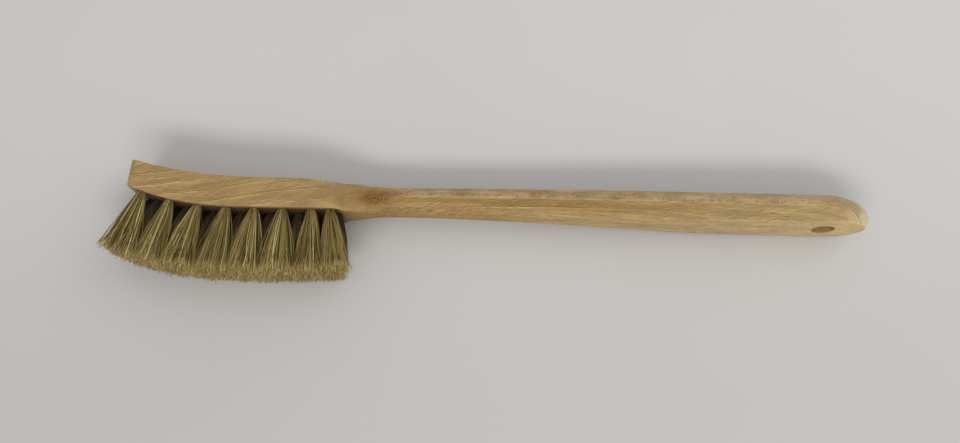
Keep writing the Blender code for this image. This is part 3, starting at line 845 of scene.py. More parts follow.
@dataclass(frozen=True)
class BeechFinish:
    """Sanded beech: growth rings, short dark dashes, cross flecks on the crown and a paler arris, with painted
    highlights and painted shade laid into its colour.

    Attributes:
        straw: The light wood just under a ring line.
        tan: The usual colour.
        late: The darker wood just above a ring line.
        dash: The colour of the dashes and flecks, and of the painted shade beside the tip's highlight.
        blush_and_light: The pinkish tone of the crowned back, made paler than the wood as painted light where the lamps
            leave the back dim.
        edge: The pale colour of the ring lines, the neck's grains and the rubbed arris, and of painted highlights: the
            dashes' glints, the arris line and the crescent on the tip.
        patch: The dark patch on the neck.
        bore: The darker wood inside the hanging hole.
        olive: The greenish corner where the head's flat side ends.
        raw_wood_and_highlight: The raw wood at the handle's tip and in the small chips beside the hanging hole.
        amber: What the other colours are multiplied by on the warmest part of the handle.
        underside_shade: The painted shade on the head's underside.
        shade_between_rows: The deeper painted shade between the rows of tufts.
        pale: The paler wood towards the hanging end, also laid as painted light on the handle's underside and on its
            rounded tip.
        shares: How strongly each layer shows.
        roughness: The sanded surface's roughness.
        specular: How much it reflects.
        relief: How deep a relief of 1 is.
        relief_strength: How strong the relief looks.
    """

    straw: Color = srgb(162, 135, 84)
    tan: Color = srgb(156, 128, 79)
    late: Color = srgb(149, 119, 71)
    dash: Color = srgb(108, 76, 38)
    blush_and_light: Color = srgb(188, 157, 118)
    edge: Color = srgb(206, 182, 136)
    patch: Color = srgb(102, 65, 20)
    bore: Color = srgb(158, 118, 64)
    olive: Color = srgb(172, 154, 92)
    # chip: The raw wood in the small chips beside the hanging hole and at the handle's tip, laid there partly as
    # painted light, and the painted glint on the tip's arris.
    raw_wood_and_highlight: Color = srgb(230, 214, 176)
    amber: Color = (0.87, 0.8, 0.67)
    underside_shade: Color = srgb(104, 72, 42)
    shade_between_rows: Color = srgb(52, 36, 26)
    pale: Color = srgb(196, 174, 128)
    shares: BeechShares = BeechShares()
    roughness: float = 0.55
    specular: float = 0.3
    relief: float = 0.085 * MM
    relief_strength: float = 0.65

    def build(self, streaks: bpy.types.NodeTree, marks: BodyMarks) -> bpy.types.Material:
        """Makes the material.

        Args:
            streaks: The shared streaks.
            marks: The body's places that the material needs.

        Returns:
            The material.
        """
        material, desk, shader = new_material("sanded_beech", self.specular)
        wood = BeechPattern(desk, streaks, marks)
        color = desk.blend(desk.spread(wood.ring, 0.0, 0.75), self.late, self.tan)
        color = desk.coats(color, *self.growth(wood))
        color = desk.blend(wood.golden(), color, self.amber, BlendWay.MULTIPLY)
        color = desk.coats(color, *self.small_marks(wood))
        shaded = desk.times(desk.spread(wood.fibres, *WHOLE, 0.86, 1.12), desk.spread(wood.grain, *USUAL, 0.9, 1.1))
        color = desk.greyed(wood.calmed, color, shaded)
        color = desk.coats(color, *self.wear(wood))
        desk.feed(shader.inputs["Base Color"], color)
        rough = desk.spread(wood.fibres, *WHOLE, self.roughness - 0.06, self.roughness + 0.08)
        desk.feed(shader.inputs["Roughness"], desk.plus(rough, desk.times(wood.dashes, 0.1)))
        depths = ((wood.dashes, 0.9), (wood.flecks, 0.8), (wood.under_line, 0.6))
        height = desk.minus(desk.times(wood.fibres, 0.3), *(desk.times(mask, depth) for mask, depth in depths))
        add_bump(desk, shader, desk.times(height, wood.calmed), self.relief_strength, self.relief)
        return material

    def growth(self, wood: BeechPattern) -> list[Layer]:
        """Lists the layers of the growth rings, fainter on calm wood, and of the wood's broad tones, with painted light
        on the crowned back and the handle's underside.

        Args:
            wood: Where each layer shows.

        Returns:
            The layers.
        """
        desk, shares = wood.desk, self.shares
        calm = desk.larger(
            desk.times(wood.calm, shares.calm), desk.times(wood.along_handle, shares.handle_calm), shares.least_calm
        )
        paler = desk.spread(wood.x, *mm(175, 300), 0.0, shares.pale_end)
        return [
            (self.straw, desk.spread(wood.ring, 0.55, 0.95), shares.straw),
            (self.straw, desk.spread(wood.bands, *USUAL, 0.0, shares.bands)),
            (self.tan, calm),
            (self.dash, wood.under_line, shares.under_line),
            # The crown's pink tone, with painted light on every face that turns to the back.
            (self.blush_and_light, wood.crowned, desk.spread(wood.blotch, 0.36, 0.6, 0.25, 0.85)),
            (self.dash, wood.stripes(), shares.stripes),
            # Paler wood towards the hanging end, and painted light on the handle's underside.
            (self.pale, desk.plus(paler, desk.times(wood.beneath, shares.painted_light_beneath))),
        ]

    def small_marks(self, wood: BeechPattern) -> list[Layer]:
        """Lists the layers of the dashes with their glints, which are painted highlights, then the flecks and the ring
        lines.

        Args:
            wood: Where each layer shows.

        Returns:
            The layers.
        """
        desk, shares = wood.desk, self.shares
        dash_share, line_share = (desk.spread(wood.x, *mm(120, 170), *pair) for pair in (shares.dashes, shares.lines))
        return [
            # Painted highlights beside the dashes.
            (self.edge, wood.glints, shares.glints),
            (self.dash, wood.dashes, desk.without(wood.crowned, 0.4), dash_share),
            (self.dash, wood.flecks, shares.flecks),
            (self.edge, wood.line, line_share),
        ]

    def wear(self, wood: BeechPattern) -> list[Layer]:
        """Lists the layers of the arris line, partly rubbed and partly painted highlight, the tip's painted light and
        shade, the toe, the neck, the chips, the painted shade under the head and the hanging hole.

        Args:
            wood: Where each layer shows.

        Returns:
            The layers.
        """
        shares = self.shares
        crescent, tip_arris_shade, glint, end_face = wood.tip_marks()
        halo, stained, grains = wood.neck_stain()
        under, between = wood.under_head()
        return [
            # The pale arris line: partly rubbed wood, partly painted highlight.
            (self.edge, wood.worn_and_lit_arris(), shares.worn_and_lit),
            # The tip: paler wood and painted light on its rounded end, painted highlights on its arris, and painted
            # shade beside them.
            (self.pale, wood.nosed, shares.nose),
            (self.edge, crescent, shares.crescent),
            (self.dash, tip_arris_shade, shares.tip_arris_shade),
            (self.raw_wood_and_highlight, glint, shares.tip_glint),
            (self.raw_wood_and_highlight, end_face, shares.end_face),
            (self.late, wood.pores(), shares.pores),
            (self.patch, halo, shares.halo),
            (self.patch, stained, shares.stain),
            (self.edge, grains, shares.grains),
            (self.olive, wood.head_corner(), shares.corner),
            (self.raw_wood_and_highlight, wood.chips(), shares.chips),
            # Painted shade under the head, deepest between the rows of tufts.
            (self.underside_shade, under, shares.underside_shade),
            (self.shade_between_rows, between, shares.shade_between_rows),
            (self.bore, wood.in_bore()),
        ]


@dataclass(frozen=True)
class HairFinish:
    """Natural hair: each one has its own tone, and painted shade darkens it near its root, most in the inner rows.

    Attributes:
        shadow: The darkest hairs.
        dun: The usual colour.
        pale: The palest hairs.
        ginger: The reddish hairs.
        root: The painted shade near the hole.
        inner: The deeper painted shade near the holes of the inner rows.
        tip: The cut ends.
        ginger_share, root_share, tip_share: How strongly these colours show.
        chances: How many steps of chance lie along the range of tones.
        roughness: How matt the hair is.
        specular: How much it reflects.
    """

    shadow: Color = srgb(84, 62, 32)
    dun: Color = srgb(159, 139, 74)
    pale: Color = srgb(222, 206, 142)
    ginger: Color = srgb(148, 100, 58)
    root: Color = srgb(96, 80, 44)
    inner: Color = srgb(52, 38, 28)
    tip: Color = srgb(134, 112, 64)
    ginger_share: float = 0.45
    root_share: float = 0.8
    tip_share: float = 0.25
    chances: float = 23.7
    roughness: float = 0.42
    specular: float = 0.4

    def build(self, streaks: bpy.types.NodeTree) -> bpy.types.Material:
        """Makes the material.

        Args:
            streaks: The shared streaks.

        Returns:
            The material.
        """
        material, desk, shader = new_material("natural_hair", self.specular)
        tone, along, deep = (desk.noted(name) for name in ("tone", "along", "deep"))
        mottle = desk.streaked(streaks, desk.coordinates(), (1500, 260, 1500))
        chance = desk.sum(MathStep.FRACTION, desk.times(tone, self.chances))
        color = desk.coats(
            desk.blend(desk.spread(tone, 0.0, 0.5), self.shadow, self.dun),
            (self.pale, desk.spread(tone, 0.5, 1.0)),
            (self.ginger, desk.spread(chance, 0.65, 0.95, 0.0, self.ginger_share)),
            # Painted shade: darker near the roots, darkest in the inner rows.
            (self.root, desk.spread(along, 0.55, 0.1, 0.0, self.root_share)),
            (self.inner, desk.spread(along, 0.95, 0.35), deep),
            (self.tip, desk.spread(along, 0.85, 1.0, 0.0, self.tip_share)),
        )
        color = desk.greyed(1.0, color, desk.spread(mottle, *WHOLE, 0.86, 1.12))
        desk.feed(shader.inputs["Base Color"], color)
        rough = desk.spread(mottle, *WHOLE, self.roughness - 0.06, self.roughness + 0.1)
        desk.feed(shader.inputs["Roughness"], rough)
        return material


@dataclass(frozen=True)
class WireFinish:
    """Drawn wire: bright, with faint draw lines and a little tarnish.

    Attributes:
        bright: The clean wire.
        dull: The tarnish.
        tarnish_scale: How fine the tarnish is.
        relief: How deep the draw lines are.
        relief_strength: How strong they look.
    """

    bright: Color = srgb(186, 184, 178)
    dull: Color = srgb(128, 116, 98)
    tarnish_scale: float = 700.0
    relief: float = 0.01 * MM
    relief_strength: float = 0.3

    def build(self, streaks: bpy.types.NodeTree) -> bpy.types.Material:
        """Makes the material.

        Args:
            streaks: The shared streaks.

        Returns:
            The material.
        """
        material, desk, shader = new_material("drawn_wire")
        place = desk.coordinates()
        tarnish = desk.spread(desk.noise(place, self.tarnish_scale, 3.0), 0.45, 0.7)
        desk.feed(shader.inputs["Base Color"], desk.blend(tarnish, self.bright, self.dull))
        desk.feed(shader.inputs["Roughness"], desk.spread(tarnish, *WHOLE, 0.3, 0.5))
        shader.inputs["Metallic"].default_value = 1.0
        drawn = desk.streaked(streaks, place, (9000, 900, 9000))
        add_bump(desk, shader, drawn, self.relief_strength, self.relief)
        return material


def finish_piece(piece: bpy.types.Object, material: bpy.types.Material, slot: Slot, *nodes: str) -> None:
    """Gives a new piece its material, and puts it in place of its CAD nodes.

    Args:
        piece: The new piece.
        material: Its material.
        slot: The record's slot that it belongs to; not used.
        nodes: The CAD nodes that it stands for.
    """
    piece.data.materials.clear()
    piece.data.materials.append(material)
    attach(piece, BODY)
    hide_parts(*nodes)
    LOG.info("%s: %d faces, stands for %s", piece.name, len(piece.data.polygons), ", ".join(nodes))


def add_object(name: str, data: Any) -> bpy.types.Object:
    """Puts a new object into the scene.

    Args:
        name: The object's name.
        data: Its mesh, camera or light.

    Returns:
        The object.
    """
    thing = bpy.data.objects.new(name, data)
    bpy.context.scene.collection.objects.link(thing)
    return thing


@dataclass
class BeechBody:
    """The beech head, neck and handle.

    Attributes:
        length: The body's whole length.
        handle_thickness: The handle's thickness, which reaches lowest on the hair's side.
        hole_from_end: From the handle's tip to the middle of the hanging hole.
        hole_radius: The hanging hole's radius.
        patch_at: The middle of the dark patch on the neck.
        crown_from: From the toe to where the neck's crowned back starts.
        arris_lead: How far behind that the crown's lower edge is first crisp.
        nose_from: From the toe to where the handle rounds to its tip.
        merge: How near two corners are to be one.
        flatness: The angle up to which faces are joined.
        crease: The angle past which any edge stays crisp.
        arris_angle: The angle past which the crown's lower edge stays crisp.
        crown_slope: How much a face of the crown faces the back, at the least.
        side_slope: How much a face of the flat side faces the back, at the least.
        crown_depth: How far below the back the crown's lower edge lies, at the least.
        arris_points: How many points of the crown's lower edge its material follows.
        origin: Where the toe's plane, the handle's back and the middle lie in the frame.
    """

    length: float = 301.3 * MM
    handle_thickness: float = 14.1 * MM
    hole_from_end: float = 19.3 * MM
    hole_radius: float = 4.6 * MM
    patch_at: Triple = (99.5 * MM, -6.8 * MM, 6 * MM)
    crown_from: float = 101 * MM
    arris_lead: float = 2 * MM
    nose_from: float = 284.8 * MM
    merge: float = 0.004 * MM
    flatness: float = math.radians(0.6)
    crease: float = math.radians(32)
    arris_angle: float = math.radians(6)
    crown_slope: float = 0.2
    side_slope: float = -0.5
    crown_depth: float = 3 * MM
    arris_points: int = 14
    origin: Vector = field(init=False)

    def __post_init__(self) -> None:
        """Works out where the toe's plane, the handle's back and the middle lie in the frame."""
        low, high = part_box("brush_body")
        self.origin = Vector((high.x - self.length, low.y + self.handle_thickness, (low.z + high.z) / 2))

    def is_arris(self, edge: bmesh.types.BMEdge) -> bool:
        """Tells whether an edge lies between the crowned back and a flat side of the handle.

        Args:
            edge: An edge of the body.

        Returns:
            True if it does.
        """
        facing = [face.normal.y for face in edge.link_faces]
        crossing = self.side_slope < min(facing) < self.crown_slope < max(facing)
        behind = edge.verts[0].co.x - self.origin.x > self.crown_from + self.arris_lead
        below = all(vert.co.y - self.origin.y < -self.crown_depth for vert in edge.verts)
        return crossing and behind and below and edge.calc_face_angle() > self.arris_angle

    def build(self, source: bpy.types.Object) -> tuple[bpy.types.Object, BodyMarks]:
        """Makes the finer body from a merged copy of the CAD solid.

        Args:
            source: The CAD node's object.

        Returns:
            The new piece, and the places that its material follows.
        """
        mesh = source.data.copy()
        mesh.name = "beech_body"
        bm = bmesh.new()
        bm.from_mesh(mesh)
        bmesh.ops.remove_doubles(bm, verts=bm.verts, dist=self.merge)
        bmesh.ops.dissolve_limit(
            bm, angle_limit=self.flatness, use_dissolve_boundaries=False, verts=bm.verts, edges=bm.edges
        )
        arris = self.sharpen(bm)
        bm.to_mesh(mesh)
        bm.free()
        piece = add_object("beech_body", mesh)
        weighted = piece.modifiers.new("even shading", "WEIGHTED_NORMAL")
        weighted.keep_sharp = True
        bore = Vector((self.length - self.hole_from_end, 0, 0))
        return piece, BodyMarks(self.origin, arris, self.crown_from, bore, self.hole_radius, Vector(self.patch_at))

    def sharpen(self, bm: bmesh.types.BMesh) -> list[Ramp]:
        """Shades the body smooth but for its crisp edges, and follows the crown's lower edge.

        Args:
            bm: The body, which is changed.

        Returns:
            Places on the crown's lower edge, from the toe and the back.
        """
        arris = {}
        for face in bm.faces:
            face.smooth = True
        for edge in bm.edges:
            on_arris = self.is_arris(edge)
            edge.smooth = not (on_arris or edge.calc_face_angle() > self.crease)
            for vert in edge.verts if on_arris else ():
                spot = vert.co - self.origin
                if spot.z > 0 and self.crown_from < spot.x < self.nose_from:
                    arris[round(spot.x / MM, 1)] = (spot.x, spot.y)
        found = [arris[key] for key in sorted(arris)]
        chosen = sorted({round(i * (len(found) - 1) / (self.arris_points - 1)) for i in range(self.arris_points)})
        LOG.info("crown arris: %d points found", len(found))
        return [found[i] for i in chosen]


@dataclass(frozen=True)
class Planting:
    """One drilled hole and the stretch of the trim that its hair fills.

    Attributes:
        name: The CAD node of the tuft.
        mouth: The middle of the hole's mouth.
        axis: The way out of the hole.
        start: Where its stretch of the trim starts, from the toe.
        end: Where its stretch of the trim ends, from the toe.
        across: How far above the middle its row lies.
    """

    name: str
    mouth: Vector
    axis: Vector
    start: float
    end: float
    across: float


@dataclass(frozen=True)
class Fan:
    """How the hairs of one tuft are scattered.

    Attributes:
        offset: Each hair's place in the hole, in hole radii.
        reach: Each hair's place in the tuft's stretch of the trim, from -1 to 1 each way.
        clump: The wisp that each hair belongs to.
        stray: Whether each hair is a stray one.
    """

    offset: np.ndarray
    reach: np.ndarray
    clump: np.ndarray
    stray: np.ndarray


@dataclass
class HairField:
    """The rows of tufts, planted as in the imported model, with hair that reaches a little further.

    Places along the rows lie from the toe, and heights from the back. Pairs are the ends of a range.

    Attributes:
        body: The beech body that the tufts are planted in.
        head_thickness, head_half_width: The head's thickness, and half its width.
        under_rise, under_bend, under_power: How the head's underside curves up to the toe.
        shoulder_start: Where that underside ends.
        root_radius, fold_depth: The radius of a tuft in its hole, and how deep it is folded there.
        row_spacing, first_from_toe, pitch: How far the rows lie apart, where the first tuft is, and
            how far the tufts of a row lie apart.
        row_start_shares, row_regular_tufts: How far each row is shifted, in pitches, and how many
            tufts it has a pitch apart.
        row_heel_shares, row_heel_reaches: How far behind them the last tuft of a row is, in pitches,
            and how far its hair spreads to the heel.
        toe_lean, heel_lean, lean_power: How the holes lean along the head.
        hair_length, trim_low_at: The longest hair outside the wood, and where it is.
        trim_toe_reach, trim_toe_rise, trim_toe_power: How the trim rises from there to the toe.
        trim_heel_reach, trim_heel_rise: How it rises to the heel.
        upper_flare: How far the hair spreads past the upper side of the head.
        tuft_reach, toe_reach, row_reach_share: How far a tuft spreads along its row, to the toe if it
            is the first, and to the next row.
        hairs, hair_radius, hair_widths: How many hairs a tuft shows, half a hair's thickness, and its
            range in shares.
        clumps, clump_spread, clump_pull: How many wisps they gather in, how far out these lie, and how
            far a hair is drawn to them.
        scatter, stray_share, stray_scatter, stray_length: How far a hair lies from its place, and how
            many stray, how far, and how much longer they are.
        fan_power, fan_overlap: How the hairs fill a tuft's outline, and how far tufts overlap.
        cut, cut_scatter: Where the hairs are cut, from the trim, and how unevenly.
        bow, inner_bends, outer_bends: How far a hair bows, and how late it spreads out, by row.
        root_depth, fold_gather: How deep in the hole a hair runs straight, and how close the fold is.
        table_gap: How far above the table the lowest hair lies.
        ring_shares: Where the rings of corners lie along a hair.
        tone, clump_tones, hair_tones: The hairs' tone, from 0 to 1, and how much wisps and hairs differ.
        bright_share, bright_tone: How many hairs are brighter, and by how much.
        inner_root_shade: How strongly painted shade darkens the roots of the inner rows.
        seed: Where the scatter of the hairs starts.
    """

    body: BeechBody
    head_thickness: float = 12.4 * MM
    head_half_width: float = 11 * MM
    under_rise: float = 8.6 * MM
    under_bend: float = 50 * MM
    under_power: float = 2.6
    shoulder_start: float = 83.5 * MM
    root_radius: float = 1.74 * MM
    fold_depth: float = 4.2 * MM
    row_spacing: float = 5.3 * MM
    first_from_toe: float = 6.4 * MM
    pitch: float = 11.4 * MM
    row_start_shares: tuple[float, ...] = (0, 0.5, 0, 0.5)
    row_regular_tufts: tuple[int, ...] = (7, 6, 6, 7)
    row_heel_shares: tuple[float, ...] = (0.65, 1.35, 1.35, 0)
    row_heel_reaches: tuple[float, ...] = (6.2 * MM, 2.6 * MM, 2.6 * MM, 4.5 * MM)
    toe_lean: float = math.radians(-14)
    heel_lean: float = math.radians(7)
    lean_power: float = 1.6
    hair_length: float = 25 * MM
    trim_low_at: float = 58 * MM
    trim_toe_reach: float = 64 * MM
    trim_toe_rise: float = 8.5 * MM
    trim_toe_power: float = 2.9
    trim_heel_reach: float = 32 * MM
    trim_heel_rise: float = 1.9 * MM
    upper_flare: float = 3.6 * MM
    tuft_reach: float = 6.5 * MM
    toe_reach: float = 7.7 * MM
    row_reach_share: float = 0.62
    hairs: int = 310
    hair_radius: float = 0.128 * MM
    hair_widths: Ramp = (0.75, 1.25)
    clumps: int = 40
    clump_spread: float = 0.92
    clump_pull: float = 0.42
    scatter: float = 0.12
    stray_share: float = 0.07
    stray_scatter: float = 0.26
    stray_length: float = 1.1 * MM
    fan_power: float = 0.93
    fan_overlap: float = 1.04
    cut: float = -0.4 * MM
    cut_scatter: float = 0.5 * MM
    bow: float = 0.62 * MM
    inner_bends: Ramp = (0.7, 1.05)
    outer_bends: Ramp = (0.95, 1.35)
    root_depth: float = 1.2 * MM
    fold_gather: float = 0.3
    table_gap: float = 0.12 * MM
    ring_shares: tuple[float, ...] = (0.0, 0.12, 0.3, 0.5, 0.7, 0.86, 1.0)
    tone: float = 0.4
    clump_tones: float = 0.08
    hair_tones: float = 0.23
    bright_share: float = 0.1
    bright_tone: float = 0.28
    inner_root_shade: float = 0.92
    seed: int = 20

    def under_height(self, x: float) -> float:
        """Gives the underside's height at a distance from the toe."""
        return self.under_rise * max(1 - x / self.under_bend, 0) ** self.under_power - self.head_thickness

    def trim_height(self, x: Any) -> Any:
        """Gives the height of the trimmed ends.

        Args:
            x: One distance from the toe, or an array of them.

        Returns:
            The height or heights.
        """
        lowest = -self.head_thickness - self.hair_length
        toe = np.maximum(self.trim_low_at - x, 0) / self.trim_toe_reach
        heel = np.maximum(x - self.trim_low_at, 0) / self.trim_heel_reach
        return lowest + self.trim_toe_rise * toe**self.trim_toe_power + self.trim_heel_rise * heel**2

    def lean_at(self, x: float) -> float:
        """Gives the lean of a hole at a distance from the toe."""
        share = (x - self.first_from_toe) / (self.shoulder_start - self.first_from_toe)
        return self.toe_lean + (self.heel_lean - self.toe_lean) * min(max(share, 0), 1) ** self.lean_power

    def row_places(self, row: int) -> list[float]:
        """Gives how far from the toe each tuft of a row is planted.

        Args:
            row: The row's number, from the upper side.

        Returns:
            The distances.
        """
        start = self.first_from_toe + self.row_start_shares[row] * self.pitch
        places = [start + self.pitch * i for i in range(self.row_regular_tufts[row])]
        if self.row_heel_shares[row]:
            places.append(places[-1] + self.row_heel_shares[row] * self.pitch)
        return places

    def plantings(self) -> list[Planting]:
        """Works out every hole, in the order of the CAD nodes.

        Returns:
            The plantings.
        """
        found: list[Planting] = []
        rows = len(self.row_start_shares)
        for row in range(rows):
            across = self.row_spacing * ((rows - 1) / 2 - row)
            holes = []
            for x in self.row_places(row):
                lean = self.lean_at(x)
                mouth = Vector((x, self.under_height(x), across))
                holes.append((mouth, Vector((math.sin(lean), -math.cos(lean), 0))))
            ends = [self.trim_place(mouth, axis) for mouth, axis in holes]
            for i, (mouth, axis) in enumerate(holes):
                start = ends[i] - (self.tuft_reach if i else self.toe_reach)
                end = ends[i] + (self.tuft_reach if i + 1 < len(ends) else self.row_heel_reaches[row])
                if i > 0:
                    start = max((ends[i - 1] + ends[i]) / 2, start)
                if i + 1 < len(ends):
                    end = min((ends[i] + ends[i + 1]) / 2, end)
                found.append(Planting(f"tuft_{len(found) + 1:02d}", mouth, axis, start, end, across))
        return found

    def trim_place(self, mouth: Vector, axis: Vector) -> float:
        """Finds where the middle of a tuft meets the trim.

        Args:
            mouth: The middle of the hole's mouth.
            axis: The way out of the hole.

        Returns:
            How far from the toe that is.
        """
        length, rounds = self.hair_length, 12
        for _ in range(rounds):
            point = mouth + axis * length
            length += (float(self.trim_height(point.x)) - point.y) / axis.y
        return (mouth + axis * length).x

    def bundle(self) -> bpy.types.Mesh:
        """Makes one three-sided hair and repeats it, each ring of corners one unit above the last.

        Returns:
            A mesh of all the hairs of a tuft, still at one place.
        """
        single = bmesh.new()
        bmesh.ops.create_circle(single, cap_ends=True, segments=3, radius=1.0)
        tip = list(single.faces)
        for _ in range(len(self.ring_shares) + 1):
            tip = bmesh.ops.extrude_discrete_faces(single, faces=tip)["faces"]
            bmesh.ops.translate(single, verts=tip[0].verts, vec=(0, 0, 1))
        bmesh.ops.holes_fill(single, edges=[edge for edge in single.edges if edge.is_boundary], sides=3)
        bmesh.ops.recalc_face_normals(single, faces=single.faces)
        hair = bpy.data.meshes.new("one_hair")
        single.to_mesh(hair)
        single.free()
        many = bmesh.new()
        for _ in range(self.hairs):
            many.from_mesh(hair)
        bundle = bpy.data.meshes.new("hair_bundle")
        many.to_mesh(bundle)
        many.free()
        bpy.data.meshes.remove(hair)
        return bundle

    def build(self) -> list[tuple[bpy.types.Object, str]]:
        """Makes every tuft.

        Returns:
            Each piece, with the CAD node that it stands for.
        """
        bundle = self.bundle()
        pieces = []
        for number, planting in enumerate(self.plantings()):
            mesh = bundle.copy()
            mesh.name = f"hair_{planting.name}"
            self.comb(mesh, planting, np.random.default_rng(self.seed + number))
            mesh.shade_smooth()
            pieces.append((add_object(mesh.name, mesh), planting.name))
        bpy.data.meshes.remove(bundle)
        return pieces

    def fan(self, rng: np.random.Generator) -> Fan:
        """Scatters the hairs of a tuft over its hole, and over the stretch that they spread to.

        Args:
            rng: The scatter of its hairs.

        Returns:
            The scattered hairs.
        """
        count = self.hairs
        spin = rng.uniform(0, 2 * math.pi, count)
        radius = np.sqrt(rng.uniform(0, 1, count))
        offset = np.stack([radius * np.cos(spin), radius * np.sin(spin)], axis=1)
        centers = rng.uniform(-self.clump_spread, self.clump_spread, (self.clumps, 2))
        clump = np.argmin(((offset[:, None] - centers[None]) ** 2).sum(axis=2), axis=1)
        pull = rng.uniform(0.0, self.clump_pull, count)[:, None]
        fanned = offset * (1 - pull) + centers[clump] * pull
        fanned += rng.normal(0, self.scatter, (count, 2))
        stray = rng.uniform(0, 1, count) < self.stray_share
        fanned[stray] += rng.normal(0, self.stray_scatter, (int(stray.sum()), 2))
        return Fan(offset, np.sign(fanned) * np.abs(fanned) ** self.fan_power, clump, stray)

    def ends(self, planting: Planting, fan: Fan, rng: np.random.Generator) -> np.ndarray:
        """Finds where each hair is cut.

        Args:
            planting: The tuft's hole and stretch of the trim.
            fan: Its scattered hairs.
            rng: The scatter of its hairs.

        Returns:
            The hairs' ends.
        """
        outer_row = self.row_spacing * (len(self.row_start_shares) - 1) / 2
        reach_up = reach_down = self.row_spacing * self.row_reach_share
        edge = self.head_half_width - outer_row
        if planting.across > outer_row - self.root_radius:
            reach_up = edge + self.upper_flare
        if planting.across < self.root_radius - outer_row:
            reach_down = edge
        along, up = fan.reach[:, 0], fan.reach[:, 1]
        end_x = planting.start + (planting.end - planting.start) * (1 + along * self.fan_overlap) / 2
        end_z = planting.across + up * np.where(up > 0, reach_up, reach_down)
        cut = rng.normal(self.cut, self.cut_scatter, self.hairs)
        cut = cut - np.where(fan.stray, rng.uniform(0, self.stray_length, self.hairs), 0)
        return np.stack([end_x, self.trim_height(end_x) + cut, end_z], axis=1)

    def comb(self, mesh: bpy.types.Mesh, planting: Planting, rng: np.random.Generator) -> None:
        """Lays the hairs of one tuft from its fold, through its hole, out to the trim.

        Args:
            mesh: The bundle's mesh, which is changed.
            planting: The tuft's hole and stretch of the trim.
            rng: The scatter of its hairs.
        """
        count = self.hairs
        fan = self.fan(rng)
        ends = self.ends(planting, fan, rng)
        mouth, axis, side = np.array(planting.mouth), np.array(planting.axis), np.array((0.0, 0.0, 1.0))
        lengthwise = np.cross(side, axis)
        start = mouth + (fan.offset[:, :1] * lengthwise + fan.offset[:, 1:] * side) * self.root_radius
        shares = np.array(self.ring_shares)[None, :, None]
        straight = ((ends - start) @ axis)[:, None, None] * axis[None, None]
        sideways = (ends - start)[:, None] - straight
        bow = rng.normal(0, self.bow, (count, 1, 3)) * (shares * (1 - shares) * 4)
        inner = abs(planting.across) < self.row_spacing
        bend = rng.uniform(*(self.inner_bends if inner else self.outer_bends), count)[:, None, None]
        paths = start[:, None] + straight * shares + sideways * shares**bend + bow
        fold = mouth - axis * self.fold_depth + (start - mouth) * self.fold_gather
        paths = np.concatenate([fold[:, None], (start - axis * self.root_depth)[:, None], paths], axis=1)
        paths[:, :, 2] = np.maximum(paths[:, :, 2], self.table_gap - self.body.origin.z)

        values = np.empty(len(mesh.vertices) * 3)
        mesh.vertices.foreach_get("co", values)
        corners = values.reshape(count, -1, 3)
        level = np.rint(corners[:, :, 2]).astype(int)
        wide = self.widths(rng)[np.arange(count)[:, None], level][:, :, None]
        turn = rng.uniform(0, 2 * math.pi, count)[:, None]
        one = corners[:, :, 0] * np.cos(turn) - corners[:, :, 1] * np.sin(turn)
        two = corners[:, :, 0] * np.sin(turn) + corners[:, :, 1] * np.cos(turn)
        placed = paths[np.arange(count)[:, None], level]
        placed = placed + (one[:, :, None] * lengthwise + two[:, :, None] * side) * wide
        placed += np.array(self.body.origin)
        mesh.vertices.foreach_set("co", placed.reshape(-1))
        self.note(mesh, "tone", np.repeat(self.tones(fan, rng), corners.shape[1]))
        self.note(mesh, "along", (level / (paths.shape[1] - 1)).reshape(-1))
        # How much painted shade the inner rows take near their roots.
        self.note(mesh, "deep", np.full(level.size, self.inner_root_shade if inner else 0.0))
        mesh.update()

    def widths(self, rng: np.random.Generator) -> np.ndarray:
        """Gives half of each hair's thickness at each of its rings, a little less at both ends.

        Args:
            rng: The scatter of the hairs.

        Returns:
            The sizes, by hair and ring.
        """
        fold_shares, taper_places, taper_shares = [0.9, 1.0], (0, 0.75, 1), (1, 1, 0.85)
        thick = self.hair_radius * rng.uniform(*self.hair_widths, self.hairs)[:, None]
        return thick * np.concatenate([fold_shares, np.interp(self.ring_shares, taper_places, taper_shares)])[None]

    def tones(self, fan: Fan, rng: np.random.Generator) -> np.ndarray:
        """Gives each hair its tone, alike within a wisp.

        Args:
            fan: The scattered hairs.
            rng: The scatter of the hairs.

        Returns:
            The tones, from 0 to 1.
        """
        clump_tone = rng.normal(0, self.clump_tones, self.clumps)[fan.clump]
        bright = np.where(rng.uniform(0, 1, self.hairs) < self.bright_share, self.bright_tone, 0)
        return np.clip(self.tone + clump_tone + bright + rng.normal(0, self.hair_tones, self.hairs), 0, 1)

    @staticmethod
    def note(mesh: bpy.types.Mesh, name: str, values: np.ndarray) -> None:
        """Stores one value at each corner of a mesh, for its material to read."""
        mesh.attributes.new(name, "FLOAT", "POINT").data.foreach_set("value", values.astype(np.float32))


